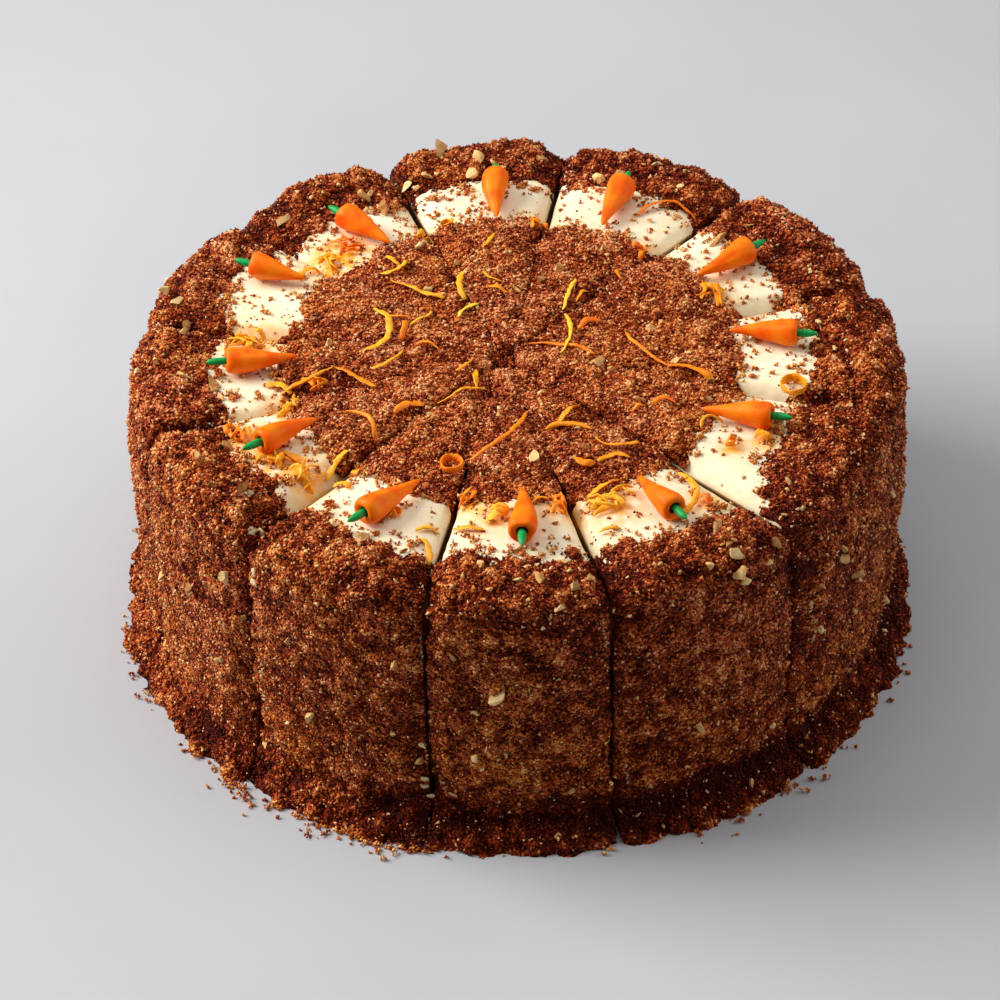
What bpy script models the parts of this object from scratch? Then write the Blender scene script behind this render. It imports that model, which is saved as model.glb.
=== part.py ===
"""A round carrot cake, cut into twelve slices that still stand together. Metres, +Z up.

A slice is a wedge of sponge under a coat of cream. Crumbs are pressed round its side and
heaped over its rim, more crumbs lie over the middle of the cake, and a sugar carrot lies on
the bare cream between the two. Angles run counter-clockwise from above, from 0 at the
front, which is -Y. Radii run from the middle of the cake.
"""
import math

import bmesh
import bpy
from mathutils import Matrix, Vector, noise

NAME = "carrot_cake"
MM = 0.001

# The whole cake
SLICES = 12
CAKE_RADIUS = 127.5 * MM            # over the crumbs on its side
CREAM_LEVEL = 96.5 * MM             # top of the cream in the middle of a slice
GAP = 0.3 * MM                      # between two pieces that touch

# The knife's cuts: cut k runs between slice k and slice k + 1
CUT_CENTRE = Vector((-3.8 * MM, -4.6 * MM, 0))
CUT_TURN = (-0.5, -0.3, 0.6, 2.0, 3.6, 3.9, 3.3, 2.4, 2.0, 1.8, 2.1, 2.2)      # degrees
CUT_WIDTH = (2.0, 2.8, 1.4, 1.8, 2.2, 1.8, 2.8, 1.2, 1.6, 1.6, 3.0, 2.2)       # mm
SLICE_LIFT = (0.0, -0.9, 1.1, 0.3, -0.6, 0.2, 0.9, -0.4, 0.4, -0.3, 0.8, -0.5)  # mm
TIP = 1.6 * MM                      # how far short of its corner a slice ends
ACROSS = (0.0, 0.05, 0.17, 0.38, 0.62, 0.83, 0.95, 1.0)    # where a slice's sections lie

# Sponge and cream
SPONGE_RADIUS = 119.5 * MM
CREAM_RADIUS = 124.0 * MM
CREAM_DEPTH = 9.0 * MM              # of the layer on top
CREAM_ROUND = 6.0 * MM              # its rounded outer edge
CROWN_FALL = 3.4 * MM               # how much lower the cream is at a cut, at its outer edge
HALFWAY = 45.0 * MM                 # one more place along the top

# Crumbs over the rim and down the side
RIM_EDGE = 95.0 * MM
RIM_CLEARANCE = 2.5 * MM            # from a carrot's shoulder to the heap
RIM_HEIGHT = 4.2 * MM               # over the cream
RIM_FALL = 2.0 * MM                 # how much lower the heap is at a cut
HEAP_FOOT = 1.0 * MM                # the heap rises steeply over this stretch
HEAP_SLOPE = 7.0 * MM               # and gently as far as this
CREST = 14.0 * MM                   # from the side in to the crest of the heap
BROW = 7.5 * MM                     # from the side in to where it starts to fall
BROW_FALL = 1.2 * MM
SHOULDER = 2.0 * MM                 # from the side in to where it turns down
SHOULDER_FALL = 2.5 * MM            # below the cream's level
THIN = 1.4 * MM                     # the least depth of crumbs
CORNER = 2.2 * MM                   # how far the side rounds off at a cut
CREASE = 125.2 * MM                 # the dark line above the foot
CREASE_HEIGHT = 8.0 * MM
LOW_SIDE = 127.0 * MM               # over the crumbs, just above that line
SKIRT_RADIUS = 137.0 * MM           # the foot of fallen crumbs
SKIRT_HEIGHT = 6.5 * MM
LUMP_SIZE = 13.0 * MM
LUMP_HEIGHT = 2.4 * MM

# Crumbs over the middle
CARPET_EDGE = 72.5 * MM
CARPET_DEPTH = 2.4 * MM
CARPET_FOOT = 0.8 * MM              # its edge rises steeply over this stretch
CARPET_SLOPE = 7.0 * MM             # and gently as far as this

# The sugar carrots: angle in degrees, distance of the shoulder from the middle in mm, turn of
# the tip away from the middle in degrees, length without the stalk and width in mm
CARROTS = (
    (0, 99, -1, 25, 9.2), (28, 100, 1, 22, 9), (60, 92, 12, 23.5, 9), (89, 91.5, -12, 23, 9),
    (121, 93, 1, 22.5, 9.6), (156, 96, 3, 24, 10), (183, 93.5, -3, 22.5, 10), (218, 94, 10, 23, 9.2),
    (243, 98, 8, 19.5, 9.2), (275, 94, 6, 24, 9), (303, 96.5, 5, 23, 9), (331, 99.5, -15, 25.5, 9.2),
)
STALK_RADIUS = 1.35 * MM
STALK_LENGTH = 6.5 * MM
CARROT_SIDES = 8
CARROT_ROUND = 2.0 * MM             # its rounded shoulder
DIMPLE = 0.7 * MM                   # how deep the stalk sits in the shoulder
TIP_LIFT = 3.2 * MM                 # height of a carrot's tip over the cream
CARROT_GAP = 0.7 * MM               # between its shoulder and the cream

# Name, colour, roughness
SPONGE = ("sponge", (0.42, 0.19, 0.07), 0.95)
CREAM = ("cream", (0.90, 0.84, 0.70), 0.50)
CRUMBS = ("crumbs", (0.21, 0.055, 0.022), 0.92)
CARROT = ("sugar_carrot", (0.90, 0.21, 0.01), 0.45)


def direction(angle):
    """The level direction that an angle stands for."""
    return Vector((math.sin(angle), -math.cos(angle), 0))


def lump(point, seed):
    """Smooth unevenness of crumbs, from -1 to 1, the same each time."""
    return noise.noise(point / LUMP_SIZE + Vector((0, 0, 2.5 * seed)))


def edge(u):
    """0 in the middle of a slice, 1 at its cuts, rising close to them."""
    return abs(2 * u - 1) ** 5


class Slice:
    """The wedge between two cuts, and the places in it."""

    def __init__(self, number):
        before = (number - 1) % SLICES
        step = 360 / SLICES
        self.number = number
        self.start = math.radians(step * (number - 0.5) + CUT_TURN[before])
        self.end = math.radians(step * (number + 0.5) + CUT_TURN[number])
        self.lift = SLICE_LIFT[number] * MM
        self.corner = self.find_corner(CUT_WIDTH[before] * MM, CUT_WIDTH[number] * MM)

    def find_corner(self, first_width, second_width):
        """Where the two cut faces would meet, each half a cut's width off the knife's line."""
        first = direction(self.start + math.pi / 2) * first_width / 2
        second = direction(self.end - math.pi / 2) * second_width / 2
        along = direction(self.start)
        across = direction(self.end)
        turn = along.cross(across).z
        reach = (second - first).cross(across).z / turn
        return CUT_CENTRE + first + along * reach

    def place(self, radius, u, height):
        """The point at a radius, u of the way from the first cut to the second."""
        out = direction(self.start + (self.end - self.start) * u)
        near = self.corner.dot(out)
        whole = -near + math.sqrt(near ** 2 + CAKE_RADIUS ** 2 - self.corner.length_squared)
        point = self.corner + out * whole * radius / CAKE_RADIUS
        return Vector((point.x, point.y, height))

    def cream_top(self, radius, u):
        """Height of the cream, which falls off towards the cuts, and more so further out."""
        share = (radius / CREAM_RADIUS) ** 0.6
        return CREAM_LEVEL + self.lift - CROWN_FALL * edge(u) * share


def sponge_section(piece, u):
    """A slice's sponge, in radius and height."""
    top = CREAM_LEVEL - CREAM_DEPTH - GAP + piece.lift
    return [(TIP, 0), (SPONGE_RADIUS, 0), (SPONGE_RADIUS, top), (TIP, top)]


def cream_edge(piece, u, off):
    """The cream's outer side from the foot up to its top, with its rounded edge, set off."""
    top = piece.cream_top(CREAM_RADIUS, u) + off
    side = CREAM_RADIUS - CORNER * edge(u) + off
    return [(side, 0), (side, top - CREAM_ROUND), (side - 0.3 * CREAM_ROUND, top - 0.3 * CREAM_ROUND),
            (side - CREAM_ROUND, top)]


def coat_rim(piece, u):
    """Radius where the heap of crumbs on the rim starts, clear of the carrot."""
    uneven = 1.5 * LUMP_HEIGHT * lump(piece.place(RIM_EDGE, u, 0), piece.number)
    return max(RIM_EDGE + uneven, CARROTS[piece.number][1] * MM + RIM_CLEARANCE)


def carpet_rim(piece, u):
    """Radius where the crumbs over the middle end."""
    return CARPET_EDGE + 1.2 * LUMP_HEIGHT * lump(piece.place(CARPET_EDGE, u, 0), piece.number)


def cream_section(piece, u):
    """The coat of cream: down the outer side, and over the top."""
    base = CREAM_LEVEL - CREAM_DEPTH + piece.lift
    inner = SPONGE_RADIUS + GAP
    radii = (coat_rim(piece, u), carpet_rim(piece, u), HALFWAY, TIP)
    top = [(radius, piece.cream_top(radius, u)) for radius in radii]
    return [(TIP, base), (inner, base), (inner, 0)] + cream_edge(piece, u, 0) + top


def coat_section(piece, u):
    """The crumbs over the rim and down the side, with the foot of fallen crumbs."""
    top = piece.cream_top(CREAM_RADIUS, u)
    fall = edge(u)

    def bump(radius, height):
        return lump(piece.place(radius, u, height), piece.number) * LUMP_HEIGHT

    rim = coat_rim(piece, u)
    start = piece.cream_top(rim, u)
    heap = RIM_HEIGHT - RIM_FALL * fall
    crest = top + max(heap + bump(CREAM_RADIUS, top), THIN)
    side = CAKE_RADIUS - CORNER * fall
    low = LOW_SIDE - CORNER * fall
    skirt = SKIRT_RADIUS + 1.2 * bump(SKIRT_RADIUS, 0)
    inner = cream_edge(piece, u, GAP)
    outer = [
        (rim, start + GAP),
        (rim + HEAP_FOOT, start + THIN),
        (rim + HEAP_SLOPE, start + max(0.6 * heap, THIN)),
        (side - CREST, crest),
        (side - BROW, crest - BROW_FALL),
        (side - SHOULDER + 0.4 * bump(side, top), top - SHOULDER_FALL),
        (side + 0.4 * bump(side, 0.8 * top), 0.8 * top),
        (side + 0.4 * bump(side, 0.5 * top), 0.5 * top),
        (low + 0.4 * bump(side, 0.2 * top), 0.2 * top),
        (CREASE, CREASE_HEIGHT),
        (CREASE + 0.4 * (skirt - CREASE), SKIRT_HEIGHT + 0.5 * bump(CREASE, 0)),
        (CREASE + 0.8 * (skirt - CREASE), 0.5 * SKIRT_HEIGHT),
        (skirt, 0),
    ]
    return inner[1:] + outer + inner[:1]


def carpet_section(piece, u):
    """The crumbs over the middle of the cake."""
    def heap(radius, share):
        bump = lump(piece.place(radius, u, 0), piece.number)
        return (radius, piece.cream_top(radius, u) + share * CARPET_DEPTH * (1 + 0.3 * bump))

    rim = carpet_rim(piece, u)
    under = [(r, piece.cream_top(r, u) + GAP) for r in (TIP, HALFWAY, rim)]
    return under + [heap(rim - CARPET_FOOT, 0.4), heap(rim - CARPET_SLOPE, 1.0),
                    heap(HALFWAY, 1.1), heap(TIP, 1.0)]


def loft(name, piece, section, collection):
    """One closed body through a slice's sections, each unlike the next.

    Its walls split along the diagonal from the point nearer the middle, so that two
    layers which share a surface split it alike and keep their gap.
    """
    bm = bmesh.new()
    outlines = [section(piece, u) for u in ACROSS]
    rings = [[bm.verts.new(piece.place(radius, u, height)) for radius, height in outline]
             for u, outline in zip(ACROSS, outlines)]
    caps = [bm.faces.new(list(reversed(rings[0]))), bm.faces.new(rings[-1])]
    for outline, near, far in zip(outlines, rings, rings[1:]):
        for i in range(len(near)):
            j = (i + 1) % len(near)
            if outline[i] < outline[j]:
                halves = ((near[i], near[j], far[j]), (near[i], far[j], far[i]))
            else:
                halves = ((near[i], near[j], far[i]), (near[j], far[j], far[i]))
            for half in halves:
                bm.faces.new(half)
    bm.normal_update()
    bmesh.ops.triangulate(bm, faces=caps, ngon_method="EAR_CLIP")
    if bm.calc_volume(signed=True) < 0:
        bmesh.ops.reverse_faces(bm, faces=bm.faces)
    mesh = bpy.data.meshes.new(name)
    bm.to_mesh(mesh)
    bm.free()
    obj = bpy.data.objects.new(name, mesh)
    collection.objects.link(obj)
    return obj


def carrot_profile(length, wide):
    """Half a carrot with its stalk, down its outer side from the stalk's end to the tip."""
    stalk = STALK_RADIUS
    return [
        (0, length + STALK_LENGTH),
        (0.7 * stalk, length + 0.8 * STALK_LENGTH),
        (stalk, length + 0.3 * STALK_LENGTH),
        (0.9 * stalk, length - DIMPLE),
        (0.75 * wide, length),
        (wide, length - CARROT_ROUND),
        (0.9 * wide, 0.68 * length),
        (0.6 * wide, 0.35 * length),
        (0.3 * wide, 0.08 * length),
        (0, 0),
    ]


def turned(name, profile, sides, collection):
    """A profile turned round its own Z axis."""
    mesh = bpy.data.meshes.new(name)
    points = [(radius, 0, height) for radius, height in profile]
    mesh.from_pydata(points, [(i, i + 1) for i in range(len(points) - 1)], [])
    obj = bpy.data.objects.new(name, mesh)
    collection.objects.link(obj)
    screw = obj.modifiers.new("Turn", "SCREW")
    screw.steps = sides
    screw.render_steps = sides
    screw.use_merge_vertices = True
    screw.merge_threshold = 0.02 * MM
    screw.use_smooth_shade = True
    return obj


def carrot(number, piece, collection):
    """A sugar carrot on the cream, its tip towards the middle of the cake."""
    angle, shoulder, turn, length, width = CARROTS[number]
    angle = math.radians(angle)
    length *= MM
    wide = width / 2 * MM
    lift = wide + CARROT_GAP
    inward = -direction(angle + math.radians(turn))
    level = CREAM_LEVEL + piece.lift
    back = direction(angle) * shoulder * MM + Vector((0, 0, level + lift))
    run = math.sqrt(length ** 2 - (lift - TIP_LIFT) ** 2)
    front = back + inward * run - Vector((0, 0, lift - TIP_LIFT))
    obj = turned(f"carrot_{number:02d}", carrot_profile(length, wide), CARROT_SIDES, collection)
    obj.location = front
    obj.rotation_euler = (back - front).to_track_quat("Z", "Y").to_euler()
    return obj


def material(name, colour, roughness):
    """A plain material of one colour."""
    made = bpy.data.materials.new(name)
    made.use_nodes = True
    shader = made.node_tree.nodes["Principled BSDF"]
    shader.inputs["Base Color"].default_value = (*colour, 1)
    shader.inputs["Roughness"].default_value = roughness
    shader.inputs["Metallic"].default_value = 0
    return made


def centre_on_origin(objects):
    """Moves the cake in plan so that its box stands centred on the origin."""
    bpy.context.view_layer.update()
    depsgraph = bpy.context.evaluated_depsgraph_get()
    corners = []
    for obj in objects:
        shown = obj.evaluated_get(depsgraph)
        corners += [shown.matrix_world @ vertex.co for vertex in shown.data.vertices]
    shift = Vector((0, 0, 0))
    for axis in (0, 1):
        values = [corner[axis] for corner in corners]
        shift[axis] = -(min(values) + max(values)) / 2
    for obj in objects:
        obj.matrix_world = Matrix.Translation(shift) @ obj.matrix_world


def main():
    for obj in list(bpy.data.objects):
        bpy.data.objects.remove(obj, do_unlink=True)
    collection = bpy.data.collections.new(NAME)
    bpy.context.scene.collection.children.link(collection)
    layers = (
        ("sponge", sponge_section, material(*SPONGE)),
        ("cream", cream_section, material(*CREAM)),
        ("crumb_coat", coat_section, material(*CRUMBS)),
        ("crumb_carpet", carpet_section, material(*CRUMBS)),
    )
    sugar = material(*CARROT)
    made = []
    for number in range(SLICES):
        piece = Slice(number)
        for layer, section, finish in layers:
            obj = loft(f"slice_{number:02d}_{layer}", piece, section, collection)
            obj.data.materials.append(finish)
            made.append(obj)
        topping = carrot(number, piece, collection)
        topping.data.materials.append(sugar)
        made.append(topping)
    centre_on_origin(made)


main()
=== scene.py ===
"""Looks of the carrot cake: cream, crumbs, sugar carrots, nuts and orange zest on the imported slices.

Metres, +Z up. As in the CAD source, angles run counter-clockwise from above, from 0 at the
front (-Y), and radii run from the middle of the cake. A slice's surfaces are grids of points:
their first direction runs from one cut to the other, their second down a section.
"""
import itertools
import math

import bmesh
import bpy
import numpy as np
from mathutils import Matrix, Quaternion, Vector, noise
from mathutils.bvhtree import BVHTree


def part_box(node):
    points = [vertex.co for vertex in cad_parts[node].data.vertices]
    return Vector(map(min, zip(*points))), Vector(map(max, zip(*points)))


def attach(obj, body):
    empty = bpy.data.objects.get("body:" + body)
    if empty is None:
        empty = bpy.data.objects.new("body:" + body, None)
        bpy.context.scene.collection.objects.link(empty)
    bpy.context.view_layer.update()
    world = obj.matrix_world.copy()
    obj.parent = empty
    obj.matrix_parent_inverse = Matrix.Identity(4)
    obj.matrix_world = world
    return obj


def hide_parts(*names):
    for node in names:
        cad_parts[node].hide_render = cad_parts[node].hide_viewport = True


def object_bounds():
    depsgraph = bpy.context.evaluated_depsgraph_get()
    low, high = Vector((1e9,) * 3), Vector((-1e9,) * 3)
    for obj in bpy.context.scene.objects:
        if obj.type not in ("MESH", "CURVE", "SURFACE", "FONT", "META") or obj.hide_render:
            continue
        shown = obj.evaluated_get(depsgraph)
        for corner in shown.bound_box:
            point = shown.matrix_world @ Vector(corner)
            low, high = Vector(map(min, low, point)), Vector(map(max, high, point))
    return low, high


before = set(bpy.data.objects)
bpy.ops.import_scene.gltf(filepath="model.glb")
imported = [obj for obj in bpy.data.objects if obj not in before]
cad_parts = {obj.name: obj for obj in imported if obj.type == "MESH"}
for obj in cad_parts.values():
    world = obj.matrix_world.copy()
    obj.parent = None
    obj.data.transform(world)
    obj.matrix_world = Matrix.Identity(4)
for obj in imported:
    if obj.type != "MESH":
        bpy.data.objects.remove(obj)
cad_low, cad_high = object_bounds()

MM = 0.001
SLICES = 12
CAKE_RADIUS = 127.5 * MM            # over the crumbs on its side
CREAM_LEVEL = 96.5 * MM             # top of the cream in the middle of a slice
GAP = 0.3 * MM                      # between two pieces that touch
BOX_MARGIN = 0.3 * MM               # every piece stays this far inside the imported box

# The knife's cuts: cut k runs between slice k and slice k + 1
CUT_CENTRE = np.array((-3.8, -4.6)) * MM
CUT_TURN = (-0.5, -0.3, 0.6, 2.0, 3.6, 3.9, 3.3, 2.4, 2.0, 1.8, 2.1, 2.2)      # degrees
CUT_WIDTH = (2.0, 2.8, 1.4, 1.8, 2.2, 1.8, 2.8, 1.2, 1.6, 1.6, 3.0, 2.2)       # mm
SLICE_LIFT = (0.0, -0.9, 1.1, 0.3, -0.6, 0.2, 0.9, -0.4, 0.4, -0.3, 0.8, -0.5)  # mm
TIP = 1.6 * MM                      # how far short of its corner a slice ends
ACROSS = (0.0, 0.05, 0.17, 0.38, 0.62, 0.83, 0.95, 1.0)

# Sponge and cream
SPONGE_RADIUS = 119.5 * MM
CREAM_RADIUS = 124.0 * MM
CREAM_DEPTH = 9.0 * MM              # of the layer on top
CREAM_ROUND = 6.0 * MM              # its rounded outer edge
CROWN_FALL = 3.4 * MM               # how much lower the cream is at a cut, at its outer edge

# Crumbs over the rim and down the side
RIM_EDGE = 95.0 * MM
RIM_CLEARANCE = 2.5 * MM            # from a carrot's shoulder to the heap
RIM_HEIGHT = 4.2 * MM
RIM_FALL = 2.0 * MM                 # how much lower the heap is at a cut
HEAP_SLOPE = 7.0 * MM
CREST = 14.0 * MM                   # from the side in to the crest of the heap
BROW = 7.5 * MM                     # from the side in to where it starts to fall
BROW_FALL = 1.2 * MM
SHOULDER = 2.0 * MM                 # from the side in to where it turns down
SHOULDER_FALL = 2.5 * MM
THIN = 1.4 * MM                     # the least depth of crumbs
CORNER = 2.2 * MM                   # how far the side rounds off at a cut
CREASE = 125.2 * MM                 # the dark line above the foot
CREASE_HEIGHT = 8.0 * MM
LOW_SIDE = 127.0 * MM
SKIRT_RADIUS = 137.0 * MM           # the foot of fallen crumbs
SKIRT_HEIGHT = 6.5 * MM
LUMP_SIZE = 13.0 * MM
LUMP_HEIGHT = 2.4 * MM

# Crumbs over the middle
CARPET_EDGE = 72.5 * MM
CARPET_DEPTH = 2.4 * MM
CARPET_SLOPE = 7.0 * MM

# The sugar carrots: angle in degrees, distance of the shoulder from the middle in mm, turn of
# the tip away from the middle in degrees, length without the stalk and width in mm
CARROTS = (
    (0, 99, -1, 25, 9.2), (28, 100, 1, 22, 9), (60, 92, 12, 23.5, 9), (89, 91.5, -12, 23, 9),
    (121, 93, 1, 22.5, 9.6), (156, 96, 3, 24, 10), (183, 93.5, -3, 22.5, 10), (218, 94, 10, 23, 9.2),
    (243, 98, 8, 19.5, 9.2), (275, 94, 6, 24, 9), (303, 96.5, 5, 23, 9), (331, 99.5, -15, 25.5, 9.2),
)
CARROT_GAP = 0.7 * MM               # between its shoulder and the cream
STALK_RADIUS = 1.35 * MM
STALK_LENGTH = 6.5 * MM
TIP_LIFT = 3.2 * MM

# Relief
RELIEF_STEP = 1.2 * MM              # between two points of the crumbs' relief
RAGGED = 5.0 * MM                   # how far the edge of a layer of crumbs runs on, thinning out
SUNK = 0.5 * MM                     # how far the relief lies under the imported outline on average
CLUMP = 7.0 * MM                    # size of the large clumps, and how far they stand out
CLUMP_DEPTH = 3.0 * MM
KNOT = 3.4 * MM                     # the smaller ones on them
KNOT_DEPTH = 1.5 * MM
HIDDEN_CREAM = 1.2 * MM             # how much lower the cream lies under the coat of crumbs
WALL_DEPTH = 3.5 * MM               # how far crumbs reach down a cut face from the cream's top

# Where the knife dragged the cream's edge down in the open ring: for each cut, the slice it did
# so on (0 before the cut, 1 after it) and how wide and how deep the slope is, in mm
DRAGGED = (
    (1, 3, 2), (1, 9, 3.2), (1, 5, 4), (1, 6, 4), (1, 2, 1.5), (1, 3, 2.5),
    (0, 2.5, 2), (0, 2, 1), (0, 4, 3), (0, 3, 2), (0, 7, 4.5), (0, 2, 1.5),
)
# Cream smeared in dabs beside the cuts: angle and height of the upper and of the lower end,
# width in mm, tone from white (0) to tan (0.4)
SIDE_SMEARS = (
    (-43, 92, -41, 80, 4, 0.25), (-41, 50, -41, 28, 2.5, 0.35), (-16, 92, -15.5, 84, 1.3, 0.2),
    (-14.6, 80, -14.4, 68, 0.8, 0.25), (-15.4, 22, -14.6, 14, 3.5, 0.25), (-12.2, 21, -11, 17, 3, 0.4),
    (10.8, 88, 11.2, 76, 0.9, 0.25), (14.2, 28, 14.6, 18, 1.0, 0.25), (45, 62, 46, 46, 2.5, 0.4),
)
# The same on top: x, y of one end and of the other, width, tone
TOP_SMEARS = ((-80, -72, -88, -78, 2.5, 0.3), (-90, -17, -97, -19, 2.5, 0.25))
# Where the heap on the rim has parted from a cut and shows the cream: slice, 0 at its first cut
# or 1 at its last, how much further out the crumbs start in mm, and over what share of the slice
PARTED = ((2, 0, 17, 0.24), (10, 1, 10, 0.16))

# Zest: x, y of the middle in mm, length in mm, heading there and the whole bend in degrees,
# tone from orange (0) to yellow (1)
ZEST_STRANDS = (
    (-40, 47, 12, -58, 33, 0.5), (-38, 43, 14, 38, 140, 0.6), (-32, 31, 22, -33, 22, 0.7),
    (-18, 33, 15, -90, 46, 0.6), (-16, 20, 12, 54, -45, 1.0), (-41, 8, 29, -96, -121, 0.6),
    (-29, 14, 15, -120, -96, 0.6), (-37, 14, 9, -14, 67, 0.4), (-36, 8, 9, -102, -4, 0.3),
    (-28, 1, 10, -21, -71, 0.3), (-40, -8, 16, -133, -66, 0.5), (-66, -16, 21, 31, 37, 0.4),
    (-51, -16, 18, -41, -3, 0.3), (-16, -12, 11, -120, -43, 0.4), (-17, -26, 18, 22, 3, 0.5),
    (-13, -19, 10, -88, 0, 0.6), (-35, -32, 12, 33, -67, 0.2), (-47, -40, 19, -53, -92, 0.4),
    (-7, 36, 10, -39, 46, 0.5), (-5, 29, 8, -27, 27, 0.4), (-8, 57, 9, -118, -11, 0.6),
    (-67, 48, 18, 36, -121, 0.4), (18, 26, 17, -107, 7, 0.8), (18, 5, 25, -94, -47, 0.8),
    (22, 26, 8, -125, 15, 0.5), (16, -2, 24, -23, -30, 0.3), (24, 11, 10, 32, -70, 0.2),
    (41, -6, 23, -55, 33, 0.2), (58, -16, 21, -25, -80, 0.3), (16, -37, 14, -124, -3, 0.3),
    (16, -44, 16, -5, -32, 0.3), (33, -54, 23, 12, 164, 0.5), (20, -62, 9, -34, 126, 0.4),
    (29, -58, 12, 13, -90, 0.5), (-3, -49, 32, -126, -63, 0.2), (38, -37, 5, 34, 0, 0.4),
    (46, -34, 10, 11, -109, 0.2), (43, 51, 12, -112, 6, 0.2), (67, 27, 12, -81, -26, 0.4),
    (35, 39, 6, -76, 0, 0.3), (-28, -88, 9, 10, -96, 0.7), (-28, -98, 11, -75, -56, 0.7),
    (-16, -90, 10, -12, 4, 0.6), (-7, -85, 9, 27, -11, 0.7), (6, -78, 7, 24, -16, 0.5),
    (26, -72, 13, 34, 13, 0.5), (26, -82, 10, 24, -25, 0.6), (27, -91, 7, 11, 0, 0.6),
    (60, -42, 11, 30, -143, 0.5), (78, -47, 14, 19, -126, 0.6), (54, -74, 25, -87, -98, 0.7),
    (48, -56, 5, 32, -217, 0.6), (-74, -30, 10, -112, -25, 0.6), (-88, -41, 7, -51, 36, 0.5),
    (-76, -55, 13, -25, -161, 0.5), (-71, -54, 10, -43, 23, 0.5), (-57, -56, 12, 52, -26, 0.7),
    (-51, -59, 6, -77, 0, 0.6), (-54, -66, 8, -26, -153, 0.6), (-89, 13, 14, 56, -5, 0.7),
    (-81, 14, 11, -56, -107, 0.6), (-75, -17, 11, -27, -80, 0.5), (-72, -25, 10, -105, -13, 0.4),
    (53, 80, 25, 2, -122, 0.2),
)
# Curled zest: x, y of its middle and its width in mm, turns, tone
ZEST_CURLS = (
    (-21, -62, 7.5, 1.3, 0.3), (88, -24, 8.5, 1.9, 0.5), (-41, -82, 3.4, 1.0, 0.4),
    (-38, -82, 3.4, 1.0, 0.4), (12, -78, 3.2, 1.0, 0.3),
)
# Tangled zest: x, y and width in mm, number of short strands, tone
ZEST_CLUMPS = (
    (64, 28, 9, 7, 0.4), (28, -78, 10, 9, 0.7), (12, -80, 6, 6, 0.2), (-16, -77, 5, 4, 0.3),
    (66, -55, 4, 2, 0.4), (57, -78, 6, 4, 0.1), (-86, 10, 11, 8, 0.6), (-65, -18, 7, 5, 0.4),
    (-71, -27, 9, 7, 0.6), (-86, -43, 8, 6, 0.2), (-77, -54, 8, 6, 0.5), (-63, 52, 9, 7, 0.6),
    (-56, 60, 9, 7, 0.1), (9, 71, 7, 5, 0.2), (-30, 66, 6, 4, 0.5), (43, 54, 6, 4, 0.1),
    (-66, -62, 8, 7, 0.6), (77, -52, 5, 4, 0.4), (-22, 70, 5, 4, 0.6), (-8, -84, 6, 4, 0.6),
)
ZEST_WIDTH = 1.95 * MM
ZEST_THICK = 0.65 * MM

# Large pieces of walnut: x, y and width in mm
WALNUTS = (
    (-24, 114, 9), (-12, 107, 6), (-13, 99, 5), (12, 110, 5), (-28, 100, 5), (-36, 98, 5),
    (30, 97, 6), (39, 97, 6), (51, 103, 6), (-43, 84, 7), (-50, 90, 7), (-78, 75, 8),
    (70, 61, 8), (80, 65, 4), (-109, 13, 5.5), (-116, -5, 4), (-107, -12, 5), (-97, -15, 7),
    (-100, -58, 4), (-92, -47, 6), (-112, -42, 4), (-108, 21, 4), (-111, 28, 5), (-85, -73, 8),
    (-95, -70, 3), (-48, -93, 6), (12, -107, 4), (5, -117, 5), (-2, -116, 4), (15, -119, 5),
    (-13, -109, 4), (20, -115, 4), (59, -96, 6), (65, -104, 6.5), (62, -102, 4), (41, -111, 3),
    (86, -84, 3), (82, -75, 4), (4, -58, 5), (25, -10, 6.5), (51, -12, 4), (62, -22, 5),
    (48, 12, 4), (44, 8, 4), (1, 31, 3.5), (-28, 33, 4), (-32, 57, 4), (-18, 47, 4),
    (15, 40, 5), (10, 35, 4), (38, -32, 4), (-70, 56, 5), (8, -25, 3), (30, -14, 3.5),
)
# The same on the side: angle in degrees, height and width in mm
SIDE_WALNUTS = (
    (-4, 61, 8), (-7, 53, 4), (-10, 75, 3), (-15, 36, 3.5), (-19, 40, 3), (-7, 36, 3.5),
    (-3, 36, 3.5), (5, 94, 4), (-18, 70, 4.5), (-34, 57, 3), (-35, 65, 4), (-32, 36, 5.5),
    (-46, 77, 5), (-44, 63, 4), (-58, 83, 3), (-72, 23, 5), (31, 92, 6), (27, 96, 3),
    (36, 90, 4), (39, 92, 4), (25, 36, 4), (6, 20, 3), (14, 97, 3), (52, 71, 3.5),
    (47, 49, 3.5), (71, 67, 4), (38, 21, 3), (57, 41, 3),
)


# ---------------------------------------------------------------- noise

def dice(cells, seed):
    """A random number from -1 to 1 for each whole-number point, the same each time."""
    x, y, z = (cells[..., axis].astype(np.int64) for axis in range(3))
    mixed = (x * 374761393 + y * 668265263 + z * 1440662683 + seed * 1274126177) & 0xFFFFFFFF
    mixed = ((mixed ^ (mixed >> 13)) * 1103515245) & 0xFFFFFFFF
    mixed = ((mixed ^ (mixed >> 15)) * 668265263) & 0xFFFFFFFF
    return ((mixed >> 12) & 0xFFFF) / 32767.5 - 1


def rough(points, size, seed=0):
    """Smooth unevenness from -1 to 1, with lumps of a size."""
    scaled = points / size
    base = np.floor(scaled)
    share = scaled - base
    share = share * share * (3 - 2 * share)
    total = 0
    for corner in itertools.product((0, 1), repeat=3):
        weight = np.where(corner, share, 1 - share).prod(axis=-1)
        total = total + weight * dice(base + corner, seed)
    return total


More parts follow.
